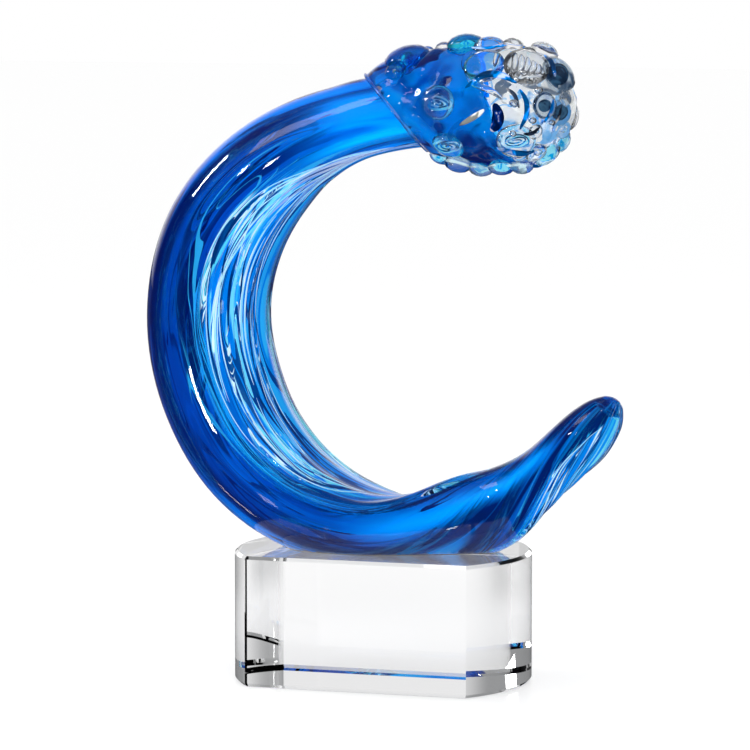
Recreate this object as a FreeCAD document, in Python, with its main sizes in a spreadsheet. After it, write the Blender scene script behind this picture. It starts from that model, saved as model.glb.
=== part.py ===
import FreeCAD, Part
import math
import os
import Sketcher
from FreeCAD import Placement, Rotation, Vector

# A hand-made glass wave sculpture. A thick horn of glass curls up in a C from a clear crystal block,
# blue on its outer side and clear with long flutes on its inner side. The lower end twists into a
# rounded tail. The upper end carries a blue hood, and on the hood sits a clear cap of sea foam with
# drops of glass melted onto it.
# The frame: millimetres, +Z up, origin at the centre of the block's underside, -Y is the front.

doc = FreeCAD.newDocument("glass_wave_sculpture")

# Driving sizes in millimetres, or a count where the alias says so
SIZES = [
    # crystal block
    ("base_width", 114.0),
    ("base_depth", 73.0),
    ("base_height", 50.0),
    ("base_chamfer", 1.2),
    # adhesive film between the block and the ground foot of the wave
    ("bond_thickness", 0.2),
    # wave: the radius of its middle line, the full thickness and depth of its thickest section
    ("wave_radius", 72.0),
    ("wave_thickness", 48.0),
    ("wave_depth", 58.0),
    ("wave_centre_shift", 0.6),
    # how much of the wave's round underside is ground away to make its flat foot
    ("foot_grind", 7.5),
    ("flute_depth", 1.3),
    ("flute_count", 6),
    # hood over the upper end of the wave, its edge stands proud of the neck by the lip
    ("hood_lip", 1.4),
    ("hood_length", 43.0),
    ("hood_height", 50.0),
    ("hood_depth", 50.0),
    # clear foam mass in front of the hood
    ("foam_length", 26.0),
    # glass drops: half the width of the largest one, and the sides of each
    ("drop_radius", 8.0),
    ("drop_side_count", 14),
    # one overrun for every cutting body
    ("overrun", 5.0),
]

# corners nearer to one plane than this are taken as lying in it
FLATNESS = 1e-7

sheet = doc.addObject("Spreadsheet::Sheet", "Sizes")
for row, (alias, value) in enumerate(SIZES, start=1):
    sheet.set(f"A{row}", alias)
    sheet.set(f"B{row}", str(value))
    sheet.setAlias(f"B{row}", alias)
doc.recompute()


def size(alias):
    """The value that the sheet holds under this alias."""
    return float(sheet.get(alias))


def count(alias):
    return int(round(size(alias)))


def foot_height():
    """The level of the wave's ground foot, on its film of adhesive."""
    return size("base_height") + size("bond_thickness")


# Crystal block: a disc with two flats, chamfered round both level faces
def origin_plane(body, role):
    for origin_feature in body.Origin.OriginFeatures:
        if origin_feature.Role == role:
            return origin_feature
    raise ValueError(role)


def make_crystal_base():
    body = doc.addObject("PartDesign::Body", "CrystalBase")
    body.Label = "crystal_base"
    sketch = body.newObject("Sketcher::SketchObject", "BaseOutline")
    sketch.AttachmentSupport = [(origin_plane(body, "XY_Plane"), "")]
    sketch.MapMode = "FlatFace"

    radius = size("base_width") / 2
    flat = size("base_depth") / 2
    half_chord = math.sqrt(radius**2 - flat**2)
    corner = math.atan2(flat, half_chord)
    rim = Part.Circle(Vector(0, 0, 0), Vector(0, 0, 1), radius)
    front = sketch.addGeometry(Part.LineSegment(Vector(-half_chord, -flat, 0), Vector(half_chord, -flat, 0)))
    right = sketch.addGeometry(Part.ArcOfCircle(rim, -corner, corner))
    back = sketch.addGeometry(Part.LineSegment(Vector(half_chord, flat, 0), Vector(-half_chord, flat, 0)))
    left = sketch.addGeometry(Part.ArcOfCircle(rim, math.pi - corner, math.pi + corner))

    # a curve's point 1 is its start, 2 its end and 3 its centre; -1 is the sketch's own origin
    ring = [front, right, back, left]
    for this_curve, next_curve in zip(ring, ring[1:] + ring[:1]):
        sketch.addConstraint(Sketcher.Constraint("Coincident", this_curve, 2, next_curve, 1))
    for arc in (right, left):
        sketch.addConstraint(Sketcher.Constraint("Coincident", arc, 3, -1, 1))
    for line in (front, back):
        sketch.addConstraint(Sketcher.Constraint("Horizontal", line))
    sketch.addConstraint(Sketcher.Constraint("Equal", front, back))
    arc_radius = sketch.addConstraint(Sketcher.Constraint("Radius", right, radius))
    depth = sketch.addConstraint(Sketcher.Constraint("DistanceY", front, 2, back, 1, 2 * flat))
    sketch.setExpression(f"Constraints[{arc_radius}]", "Sizes.base_width / 2")
    sketch.setExpression(f"Constraints[{depth}]", "Sizes.base_depth")

    pad = body.newObject("PartDesign::Pad", "BaseBlock")
    pad.Profile = sketch
    pad.setExpression("Length", "Sizes.base_height")
    doc.recompute()

    # the rims of the two level faces take the chamfer, the upright corners stay sharp
    rims = []
    for number, edge in enumerate(pad.Shape.Edges, start=1):
        if edge.BoundBox.ZLength < size("base_chamfer"):
            rims.append(f"Edge{number}")
    chamfer = body.newObject("PartDesign::Chamfer", "BaseChamfer")
    chamfer.Base = (pad, rims)
    chamfer.setExpression("Size", "Sizes.base_chamfer")
    body.Tip = chamfer
    doc.recompute()
    return body


def finished(label, shape):
    """A free-form solid as an object of the document, under its own label."""
    made = doc.addObject("Part::Feature", label.title().replace("_", ""))
    made.Label = label
    made.Shape = shape
    made.Placement = Placement()
    return made


def flat_face(corners):
    return Part.Face(Part.makePolygon(corners + corners[:1]))


def skin(rings):
    """A closed solid through rings of as many points each. Four corners that lie in one plane make one
    flat face and four that don't make two, so a free form keeps few faces and every face is flat."""
    faces = [flat_face(rings[0]), flat_face(rings[-1])]
    for low, high in zip(rings, rings[1:]):
        for k in range(len(low)):
            after = (k + 1) % len(low)
            corners = [low[k], low[after], high[after], high[k]]
            square_to_three = (corners[1] - corners[0]).cross(corners[2] - corners[0]).normalize()
            if abs(square_to_three.dot(corners[3] - corners[0])) < FLATNESS:
                faces.append(flat_face(corners))
            else:
                faces.append(flat_face(corners[:3]))
                faces.append(flat_face([corners[0], corners[2], corners[3]]))
    return Part.Solid(Part.Shell(faces))


def smooth_row(rows, place):
    """The row at a place along the rows, 0 at the first one, as a Catmull-Rom blend of its neighbours."""
    last = len(rows) - 1
    index = min(int(place), last - 1)
    step = place - index
    before, start, end, after = (rows[min(max(index + k, 0), last)] for k in (-1, 0, 1, 2))
    blended = []
    for p, q, r, s in zip(before, start, end, after):
        value = 2 * q + (r - p) * step
        value += (2 * p - 5 * q + 4 * r - s) * step**2
        value += (3 * q - p - 3 * r + s) * step**3
        blended.append(value / 2)
    return blended


# Wave. Its sections stand across the curl, from the neck under the hood, down and round to the tip of
# the tail. Each row: turn in degrees round the curl's centre, 0 at the right and 90 at the top, then
# the shares of wave_radius, wave_thickness and wave_depth, the clear glass's share of the thickness,
# then in degrees the lean of the section out of the radial plane, its swing away from the front at the
# neck, and its twist about the wave's own line.
WAVE_SHARES = [
    (86.7, 1.079, 0.705, 0.66, 0.26, 44, 13, 0),
    (100.0, 1.040, 0.635, 0.71, 0.28, 18, 7, 0),
    (115.0, 1.008, 0.715, 0.82, 0.33, 0, 2, 0),
    (133.0, 0.990, 0.835, 0.92, 0.37, 0, 0, 0),
    (155.0, 0.990, 0.930, 0.98, 0.40, 0, 0, 0),
    (180.0, 0.992, 0.950, 1.00, 0.42, 0, 0, 0),
    (205.0, 1.010, 0.950, 1.00, 0.42, 0, 0, 0),
    (229.0, 1.062, 0.890, 1.00, 0.38, 0, 0, 0),
    (251.0, 1.108, 0.750, 0.98, 0.32, 0, 0, 0),
    (270.0, 1.142, 0.610, 0.88, 0.26, 0, 0, -4),
    (286.0, 1.165, 0.530, 0.70, 0.30, -1, 0, -30),
    (300.0, 1.174, 0.468, 0.54, 0.38, -5, 0, -84),
    (311.5, 1.182, 0.444, 0.47, 0.42, -9, 0, -138),
    (322.5, 1.210, 0.446, 0.45, 0.42, -14, 0, -178),
    (331.5, 1.254, 0.416, 0.41, 0.42, -14, 0, -200),
    (337.5, 1.290, 0.320, 0.32, 0.42, -16, 0, -208),
    (341.0, 1.316, 0.185, 0.18, 0.42, -18, 0, -210),
    (342.1, 1.326, 0.085, 0.08, 0.42, -18, 0, -210),
    (342.3, 1.328, 0.030, 0.03, 0.42, -18, 0, -210),
]
# a span between two sections turns and twists no further than this, in degrees
SPAN_TURN = 6.5
SPAN_TWIST = 7.0
# the outer half of a section is a squarish oval of this many sides, and each flute has its own
OUTER_SIDES = 20
OVAL_POWER = 2.15
FLUTE_SIDES = 4


class WaveSection:
    """One section across the wave about its centre: its seam, its two directions and its half sizes."""

    def __init__(self, row, centre):
        turn, radius_share, thickness_share, depth_share, clear_share, lean, swing, twist = row
        thickness = size("wave_thickness") * thickness_share
        self.half_depth = size("wave_depth") * depth_share / 2
        self.blue_side = thickness * (1 - clear_share)
        self.clear_side = thickness * clear_share
        self.flute = size("flute_depth") * thickness_share

        around = math.radians(turn)
        outward = math.radians(turn + lean)
        out = Vector(math.cos(outward), 0, math.sin(outward))
        self.middle = Vector(math.cos(around), 0, math.sin(around)) * (size("wave_radius") * radius_share)
        self.middle += centre
        turned = Rotation(out.cross(Vector(0, 1, 0)), twist)
        self.up = turned.multVec(out)
        self.across = turned.multVec(Rotation(out, swing).multVec(Vector(0, 1, 0)))
        # blue and clear glass meet on a straight seam across the section
        self.seam = self.middle + self.up * (self.clear_side - thickness / 2)

    def point(self, across, up):
        return self.seam + self.across * across + self.up * up

    def outline(self, steps, height):
        """Points from the seam's far end over one side to its near end, at height(angle)."""
        points = []
        for k in range(steps + 1):
            angle = math.pi * k / steps
            share = math.copysign(abs(math.cos(angle)) ** (2 / OVAL_POWER), math.cos(angle))
            points.append(self.point(self.half_depth * share, height(angle)))
        return points

    def blue_ring(self):
        def height(angle):
            return self.blue_side * abs(math.sin(angle)) ** (2 / OVAL_POWER)

        return self.outline(OUTER_SIDES, height)

    def clear_ring(self):
        flutes = count("flute_count")

        def height(angle):
            hollow = self.flute * math.sin(angle) * math.sin(flutes * angle) ** 2
            return hollow - self.clear_side * abs(math.sin(angle)) ** (2 / OVAL_POWER)

        return self.outline(flutes * FLUTE_SIDES, height)


def wave_sections(centre):
    sections = []
    for index, (row, next_row) in enumerate(zip(WAVE_SHARES, WAVE_SHARES[1:])):
        turn = next_row[0] - row[0]
        twist = next_row[-1] - row[-1]
        spans = math.ceil(max(turn / SPAN_TURN, abs(twist) / SPAN_TWIST))
        for k in range(spans):
            sections.append(WaveSection(smooth_row(WAVE_SHARES, index + k / spans), centre))
    sections.append(WaveSection(WAVE_SHARES[-1], centre))
    return sections


def wave_centre():
    """The centre of the curl, so low that the foot loses foot_grind to the grinding wheel."""
    level = Vector(size("wave_centre_shift"), 0, 0)
    lowest = min(point.z for section in wave_sections(level) for point in section.blue_ring())
    return level + Vector(0, 0, foot_height() - size("foot_grind") - lowest)


def cutting_box(name, bottom, height):
    """A level slab as wide as the block and more, from one height up to another."""
    box = doc.addObject("Part::Box", name)
    box.setExpression("Length", "Sizes.base_width + 2 * Sizes.overrun")
    box.setExpression("Width", "Sizes.base_depth + 2 * Sizes.overrun")
    box.setExpression("Height", height)
    box.setExpression("Placement.Base.x", "-Sizes.base_width / 2 - Sizes.overrun")
    box.setExpression("Placement.Base.y", "-Sizes.base_depth / 2 - Sizes.overrun")
    box.setExpression("Placement.Base.z", bottom)
    return box


def make_wave():
    """The two gathers of glass and the adhesive film under the ground foot."""
    sections = wave_sections(wave_centre())
    blown = finished("wave_before_grinding", skin([s.blue_ring() for s in sections]))
    clear = finished("clear_rib_gather", skin([s.clear_ring() for s in sections]))

    ground_off = cutting_box("GroundOff", "0", "Sizes.base_height + Sizes.bond_thickness")
    blue = doc.addObject("Part::Cut", "BlueWaveBody")
    blue.Label = "blue_wave_body"
    blue.Base = blown
    blue.Tool = ground_off

    film_space = cutting_box("FilmSpace", "Sizes.base_height", "Sizes.bond_thickness")
    film = doc.addObject("Part::Common", "BondFilm")
    film.Label = "bond_film"
    film.Base = blown
    film.Tool = film_space
    doc.recompute()
    return [blue, clear, film]


# Crest. The hood and the foam mass are one row of ovals from the neck to the front of the crest. Each
# row: shares of hood_length and foam_length for the way in front of the neck, the share of
# hood_height for the rise above it, shares of half hood_height and half hood_depth for the oval, and
# in degrees the backward lean of its plane and its swing away from the front. The hood's first oval
# takes all of these from the neck, and the foam's first oval is the hood's last.
HOOD_SHARES = [
    (0.13, 0.034, 0.80, 0.86, 28, 13),
    (0.38, 0.026, 0.90, 0.94, 23, 10),
    (0.68, 0.046, 0.95, 0.99, 20, 7),
    (1.00, 0.060, 0.96, 1.00, 20, 4),
]
FOAM_SHARES = [
    (0.32, 0.078, 0.90, 0.95, 13, 2),
    (0.64, 0.092, 0.75, 0.80, 7, 0),
    (0.86, 0.100, 0.52, 0.56, 3, 0),
    (0.97, 0.110, 0.30, 0.32, 0, 0),
    (1.00, 0.112, 0.14, 0.15, 0, 0),
]
CREST_SIDES = 28
SPANS_PER_ROW = 3
# a direction along a mass is measured over this share of a row each way, and over 1 degree round it
NUDGE_SHARE = 0.02


class Mass:
    """A row of ovals: each one's middle, half height, half depth, backward lean and swing."""

    def __init__(self, ovals):
        self.ovals = ovals

    def point(self, place, around):
        """A point on the skin: around is 0 degrees at the top, 90 at the front, 180 at the bottom."""
        x, z, half_height, half_depth, lean, swing = smooth_row(self.ovals, place)
        angle = math.radians(around)
        up = Rotation(Vector(0, -1, 0), lean).multVec(Vector(0, 0, 1))
        across = Rotation(up, swing).multVec(Vector(0, 1, 0))
        rise = up * (half_height * math.cos(angle))
        return Vector(x, 0, z) + rise - across * (half_depth * math.sin(angle))

    def outward(self, place, around):
        """The direction square to the skin at a point on it."""
        last = len(self.ovals) - 1
        low = max(place - NUDGE_SHARE, 0)
        high = min(place + NUDGE_SHARE, last)
        along = self.point(high, around) - self.point(low, around)
        round_it = self.point(place, around + 1) - self.point(place, around - 1)
        return along.cross(round_it).normalize()

    def oval(self, place):
        return [self.point(place, 360 * k / CREST_SIDES) for k in range(CREST_SIDES)]

    def solid(self):
        spans = (len(self.ovals) - 1) * SPANS_PER_ROW
        return skin([self.oval(k / SPANS_PER_ROW) for k in range(spans + 1)])


def crest_masses():
    """The hood, from the neck's end to the foam, and the foam mass, which starts on the hood's end."""
    neck = WaveSection(WAVE_SHARES[0], wave_centre())
    neck_swing = WAVE_SHARES[0][-2]
    lip = size("hood_lip")
    half_height = size("hood_height") / 2
    half_depth = size("hood_depth") / 2
    neck_half_height = (neck.blue_side + neck.clear_side) / 2 + lip
    neck_lean = math.degrees(math.atan2(-neck.up.x, neck.up.z))
    neck_half_depth = neck.half_depth + lip
    neck_oval = (neck.middle.x, neck.middle.z, neck_half_height, neck_half_depth, neck_lean, neck_swing)

    def ovals(rows, start, length):
        made = []
        for way, rise, height, depth, lean, swing in rows:
            x = start + length * way
            z = neck.middle.z + size("hood_height") * rise
            made.append((x, z, half_height * height, half_depth * depth, lean, swing))
        return made

    hood_ovals = [neck_oval] + ovals(HOOD_SHARES, neck.middle.x, size("hood_length"))
    foam_start = neck.middle.x + size("hood_length")
    foam_ovals = hood_ovals[-1:] + ovals(FOAM_SHARES, foam_start, size("foam_length"))
    return Mass(hood_ovals), Mass(foam_ovals)


# Drops. Each row: the node, the mass that carries it, the place along that mass in rows of ovals, the
# degrees round it, then its half width and its height as shares of drop_radius.
DROP_SHARES = [
    ("blue_bubble", "hood", 1.8, 22, 1.05, 0.85),
    ("blue_bubble", "hood", 1.28, 44, 0.52, 0.45),
    ("hood_bulge", "hood", 3.45, 98, 1.25, 0.60),
    ("swirl_pad_upper", "hood", 2.4, 84, 0.80, 0.30),
    ("swirl_pad_lower", "hood", 2.1, 130, 0.75, 0.42),
    ("teal_bubble", "hood", 3.45, 4, 0.90, 0.92),
    ("coil_drop", "foam", 0.3, 10, 0.72, 0.70),
    ("clear_lobe", "foam", 0.2, 48, 0.95, 0.45),
    ("ripple_lobe", "foam", 1.7, 46, 1.05, 0.50),
    ("corner_bubble", "foam", 2.0, 354, 0.66, 0.75),
    ("smoke_bubble", "foam", 3.1, 34, 0.90, 0.80),
    ("oval_drop", "foam", 2.5, 92, 0.60, 0.42),
    ("dark_drop", "foam", 3.5, 112, 0.62, 0.60),
    ("streak_pad", "foam", 0.7, 124, 0.90, 0.35),
    ("top_drops", "hood", 2.35, 4, 0.36, 0.42),
    ("top_drops", "hood", 2.85, 2, 0.40, 0.50),
    ("top_drops", "foam", 1.0, 4, 0.48, 0.55),
    ("top_drops", "foam", 1.4, 330, 0.50, 0.45),
    ("top_drops", "foam", 1.65, 18, 0.34, 0.38),
    ("front_drops", "foam", 4.3, 70, 0.42, 0.42),
    ("front_drops", "foam", 3.3, 158, 0.42, 0.45),
    ("front_drops", "foam", 1.8, 120, 0.36, 0.30),
    ("front_drops", "foam", 3.95, 86, 0.36, 0.34),
    ("front_drops", "foam", 1.4, 148, 0.52, 0.42),
    ("under_drops", "hood", 1.35, 168, 0.48, 0.45),
    ("under_drops", "hood", 2.0, 168, 0.62, 0.60),
    ("under_drops", "hood", 2.75, 174, 0.60, 0.68),
    ("under_drops", "hood", 3.35, 168, 0.62, 0.62),
    ("under_drops", "hood", 3.95, 168, 0.52, 0.58),
    ("under_drops", "foam", 1.8, 166, 0.66, 0.56),
    ("under_drops", "foam", 2.6, 188, 0.50, 0.50),
    ("back_drops", "hood", 2.2, 300, 0.70, 0.55),
    ("back_drops", "hood", 3.3, 250, 0.85, 0.60),
    ("back_drops", "foam", 0.5, 300, 0.62, 0.55),
    ("back_drops", "foam", 1.3, 262, 0.70, 0.60),
    ("back_drops", "foam", 1.2, 218, 0.55, 0.50),
    ("back_drops", "foam", 2.4, 300, 0.60, 0.55),
    ("back_drops", "foam", 2.8, 244, 0.60, 0.52),
]
# a drop's rings, from the one sunk in the glass below to the one at its top, as shares of its height
RING_SHARES = (-0.70, 0.0, 0.38, 0.70, 0.91, 0.99)


def drop_solid(foot, outward, half_width, height):
    """A bead of glass like half an egg, which reaches down into the mass that it sits on."""
    turn = Rotation(Vector(0, 0, 1), outward)
    sides = count("drop_side_count")
    rings = []
    for share in RING_SHARES:
        ring_radius = half_width * math.sqrt(1 - share**2)
        ring = []
        for k in range(sides):
            angle = 2 * math.pi * k / sides
            flat = Vector(ring_radius * math.cos(angle), ring_radius * math.sin(angle), height * share)
            ring.append(foot + turn.multVec(flat))
        rings.append(ring)

    return skin(rings)


def make_crest():
    """Hood, foam mass and drops. What a drop would share with its neighbours is cut from the drop."""
    hood_mass, foam_mass = crest_masses()
    masses = {"hood": hood_mass, "foam": foam_mass}
    hood = finished("crest_hood", hood_mass.solid())
    foam = finished("foam_mass", foam_mass.solid())

    placed = [hood.Shape, foam.Shape]
    groups = {}
    for node, carrier, place, around, width_share, height_share in DROP_SHARES:
        mass = masses[carrier]
        half_width = size("drop_radius") * width_share
        height = size("drop_radius") * height_share
        drop = drop_solid(mass.point(place, around), mass.outward(place, around), half_width, height)
        for neighbour in placed:
            if neighbour.BoundBox.intersect(drop.BoundBox):
                drop = drop.cut(neighbour)
        largest = max(drop.Solids, key=lambda solid: solid.Volume)
        placed.append(largest)
        groups.setdefault(node, []).append(largest)

    drops = [finished(node, Part.makeCompound(solids)) for node, solids in groups.items()]
    return [hood, foam] + drops


subparts = [make_crystal_base()] + make_wave() + make_crest()

# Nothing is written unless every object is sound
doc.recompute()
for made in doc.Objects:
    if "Invalid" in made.State or "Error" in made.State:
        raise RuntimeError(f"{made.Label} failed: {made.State}")
for subpart in subparts:
    if subpart.Shape.isNull() or not subpart.Shape.isValid() or not subpart.Shape.Solids:
        raise RuntimeError(f"{subpart.Label} is not a sound solid")

os.makedirs("parts", exist_ok=True)
for subpart in subparts:
    subpart.Shape.exportStep(f"parts/{subpart.Label}.step")
    print(subpart.Label, len(subpart.Shape.Solids), round(subpart.Shape.Volume, 1))
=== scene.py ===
# %% [markdown]
# A glass wave sculpture, dressed from its CAD frame. The real piece is hot-worked by hand: a horn of
# cobalt and streaked glass under clear glass, a blue hood with drops melted onto it, and a cut crystal
# block below. Glass has no surface picture of its own. What the eye reads is light that bends through
# it, colour that deepens with the length of the way through it, and streaks that lie inside. So the
# lesson builds each of those as a real layer, and lets the renderer bend the light.

import functools
import math
import random

import bmesh
import bpy
from mathutils import Matrix, Quaternion, Vector, noise


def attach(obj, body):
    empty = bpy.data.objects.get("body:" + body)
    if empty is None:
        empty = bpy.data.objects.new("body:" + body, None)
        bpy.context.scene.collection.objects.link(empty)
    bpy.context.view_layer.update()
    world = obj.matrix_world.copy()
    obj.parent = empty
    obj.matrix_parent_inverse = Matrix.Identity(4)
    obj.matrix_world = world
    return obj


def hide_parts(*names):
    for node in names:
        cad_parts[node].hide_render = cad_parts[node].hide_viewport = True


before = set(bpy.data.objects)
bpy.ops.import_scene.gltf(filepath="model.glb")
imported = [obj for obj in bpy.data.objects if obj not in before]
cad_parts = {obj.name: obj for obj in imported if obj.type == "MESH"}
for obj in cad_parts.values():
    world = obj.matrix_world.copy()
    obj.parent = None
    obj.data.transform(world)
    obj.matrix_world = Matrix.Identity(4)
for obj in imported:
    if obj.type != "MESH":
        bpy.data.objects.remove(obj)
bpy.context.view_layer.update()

MM = 0.001

# %% [markdown]
# Shader maths reads best as arithmetic. A link wraps the output of a node, and each sign between two
# links adds the Math node that it stands for. A colour can't take a Math node, which would turn it
# grey, so colours are blended with a Mix node.

# %% Shader maths
class Link:
    """The output of a node in a tree."""

    def __init__(self, tree, socket):
        self.tree = tree
        self.socket = socket

    def beside(self, name):
        """Another output of the same node."""
        return Link(self.tree, self.socket.node.outputs[name])

    def maths(self, operation, first, second=0.0):
        return self.tree.add("Math", {"operation": operation}, {0: first, 1: second})

    def __add__(self, other):
        return self.maths("ADD", self, other)

    def __radd__(self, other):
        return self.maths("ADD", other, self)

    def __sub__(self, other):
        return self.maths("SUBTRACT", self, other)

    def __rsub__(self, other):
        return self.maths("SUBTRACT", other, self)

    def __mul__(self, other):
        return self.maths("MULTIPLY", self, other)

    def __rmul__(self, other):
        return self.maths("MULTIPLY", other, self)

    def __abs__(self):
        return self.maths("ABSOLUTE", self)

    def atleast(self, other):
        return self.maths("MAXIMUM", self, other)

    def step(self, low, high):
        """0 at low and 1 at high, with a smooth step between. With low above high it falls."""
        settings = {"interpolation_type": "SMOOTHSTEP"}
        return self.tree.add("MapRange", settings, {"Value": self, "From Min": low, "From Max": high})


# %% [markdown]
# A material is a tree of nodes. To add a node, set it and link its inputs takes many lines each time,
# so the tree does it in one call and hands back a link. What the finishes below read most has a short
# name: noise, the spot on the object, and a number from the mesh.

# %% Node trees
class Tree:
    """The node tree of a material or of the world."""

    def __init__(self, owner):
        owner.use_nodes = True
        self.nodes = owner.node_tree.nodes
        self.links = owner.node_tree.links
        self.nodes.clear()

    def add(self, kind, settings=None, inputs=None, output=0):
        node = self.nodes.new("ShaderNode" + kind)
        for name, value in (settings or {}).items():
            setattr(node, name, value)
        for name, value in (inputs or {}).items():
            self.put(node, name, value)
        return Link(self, node.outputs[output])

    def put(self, node, name, value):
        """A value or a link on one socket of a node."""
        if isinstance(value, Link):
            self.links.new(value.socket, node.inputs[name])
        else:
            node.inputs[name].default_value = value

    def end(self, kind, surface, volume=None):
        node = self.nodes.new("ShaderNodeOutput" + kind)
        self.put(node, "Surface", surface)
        if volume:
            self.put(node, "Volume", volume)

    def blend(self, factor, first, second):
        """Two colours mixed by a factor."""
        return self.add("Mix", {"data_type": "RGBA"}, {0: factor, 6: first, 7: second}, output=2)

    def noise(self, vector, detail=2.0, distortion=0.0, scale=1.0):
        inputs = {"Vector": vector, "Scale": scale, "Detail": detail, "Distortion": distortion}
        return self.add("TexNoise", None, inputs)

    def spot(self):
        """The place on the object, in metres."""
        return self.add("TexCoord", output="Object")

    def value(self, attribute):
        """A number that the mesh carries at each vertex."""
        return self.add("Attribute", {"attribute_name": attribute}, output="Fac")


def colour(red, green, blue):
    """An opaque colour."""
    return (red, green, blue, 1.0)


WHITE = colour(1, 1, 1)
BLACK = colour(0, 0, 0)
print("white:", WHITE, "black:", BLACK)

# %% [markdown]
# Glass takes its colour inside. A clear skin only bends light. Tinted glass also soaks it up on the
# way: red first, then green, blue last, so a thin edge looks azure and a thick middle navy. What lies
# deeper is painted on layers of its own, which bend nothing.

# %% Finishes
def absorption(red, green, blue):
    """What one metre of glass soaks up of each colour, as the colour and density of the volume node."""
    density = max(red, green, blue)
    return colour(1 - red / density, 1 - green / density, 1 - blue / density), density


class Finish:
    """A material around one principled node. What varies over a surface is fed in afterwards."""

    def __init__(self, name, sockets, soak=None):
        self.material = bpy.data.materials.new(name)
        self.tree = Tree(self.material)
        skin = self.tree.add("BsdfPrincipled", None, sockets)
        self.node = skin.socket.node
        volume = None
        if soak:
            soak_colour, density = absorption(*soak)
            volume = self.tree.add("VolumeAbsorption", None, {"Color": soak_colour, "Density": density})
        self.tree.end("Material", skin, volume)

    def feed(self, name, link):
        self.tree.put(self.node, name, link)

    def paint(self, tint):
        """One colour for what the layer scatters and for what it glows with."""
        self.feed("Base Color", tint)
        self.feed("Emission Color", tint)

    def ripple(self, waves, height):
        """Waves that bend the light, this high in metres."""
        self.feed("Normal", self.tree.add("Bump", None, {"Distance": height, "Height": waves}))

    def melted(self, scale, height):
        """The slow waviness that a hand-worked skin keeps."""
        self.ripple(self.tree.noise(self.tree.spot(), 1.0, 0.0, scale), height)
        return self


def clear_glass(name, ior=1.5, soak=None, tint=WHITE):
    """Glass that bends light by its index, and soaks some of it up where it is tinted."""
    sockets = {"Base Color": tint, "Roughness": 0.0, "IOR": ior, "Transmission Weight": 1.0}
    return Finish(name, sockets, soak)


def inner_layer(name, glow, soak=None):
    """Coloured glass under the surface: no gloss of its own, it scatters light and glows a little, as
    painted light.
    """
    sockets = {"Roughness": 0.6, "Specular IOR Level": 0.0, "Emission Strength": glow}
    return Finish(name, sockets, soak)


COBALT_SOAK = (480, 46, 9)
print("cobalt glass soaks up, for each metre:", COBALT_SOAK)

# %% [markdown]
# The horn is one row of sections from the neck to the tip of the tail. Each row holds the turn round
# the curl, shares of the radius, thickness and depth, the clear glass's share, and the lean, swing and
# twist of the section, the same ones that the CAD frame was built with. A blend of the rows beside it
# gives a section anywhere between.

# %% Rows of the horn
WAVE_RADIUS = 72 * MM
WAVE_THICKNESS = 48 * MM
WAVE_DEPTH = 58 * MM
FLUTE_DEPTH = 1.3 * MM
WAVE_CENTRE = Vector((0.6, 0.0, 139.598)) * MM
OVAL_POWER = 2.15
WAVE_SHARES = [
    (86.7, 1.079, 0.705, 0.66, 0.26, 44, 13, 0),
    (100.0, 1.040, 0.635, 0.71, 0.28, 18, 7, 0),
    (115.0, 1.008, 0.715, 0.82, 0.33, 0, 2, 0),
    (133.0, 0.990, 0.835, 0.92, 0.37, 0, 0, 0),
    (155.0, 0.990, 0.930, 0.98, 0.40, 0, 0, 0),
    (180.0, 0.992, 0.950, 1.00, 0.42, 0, 0, 0),
    (205.0, 1.010, 0.950, 1.00, 0.42, 0, 0, 0),
    (229.0, 1.062, 0.890, 1.00, 0.38, 0, 0, 0),
    (251.0, 1.108, 0.750, 0.98, 0.32, 0, 0, 0),
    (270.0, 1.142, 0.610, 0.88, 0.26, 0, 0, -4),
    (286.0, 1.165, 0.530, 0.70, 0.30, -1, 0, -30),
    (300.0, 1.174, 0.468, 0.54, 0.38, -5, 0, -84),
    (311.5, 1.182, 0.444, 0.47, 0.42, -9, 0, -138),
    (322.5, 1.210, 0.446, 0.45, 0.42, -14, 0, -178),
    (331.5, 1.254, 0.416, 0.41, 0.42, -14, 0, -200),
    (337.5, 1.290, 0.320, 0.32, 0.42, -16, 0, -208),
    (341.0, 1.316, 0.185, 0.18, 0.42, -18, 0, -210),
    (342.1, 1.326, 0.085, 0.08, 0.42, -18, 0, -210),
    (342.3, 1.328, 0.030, 0.03, 0.42, -18, 0, -210),
]
LAST_ROW = len(WAVE_SHARES) - 1


def smooth_row(rows, place):
    """The row at a place along the rows, as a Catmull-Rom blend of its neighbours."""
    last = len(rows) - 1
    index = max(min(int(place), last - 1), 0)
    step = place - index
    before, start, end, after = (rows[min(max(index + k, 0), last)] for k in (-1, 0, 1, 2))
    blended = []
    for p, q, r, s in zip(before, start, end, after):
        value = 2 * q + (r - p) * step
        value += (2 * p - 5 * q + 4 * r - s) * step**2
        value += (3 * q - p - 3 * r + s) * step**3
        blended.append(value / 2)
    return blended


print("rows:", len(WAVE_SHARES), "halfway round:", smooth_row(WAVE_SHARES, 5.0))

# %% [markdown]
# Across the horn the glass is an oval, a little squarer than an ellipse. Its outer half is the blue
# gather and its inner half the clear one, and they meet at the seam. A share of the way round gives
# each point, and the inner half gets its flutes where they are asked for.

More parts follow.
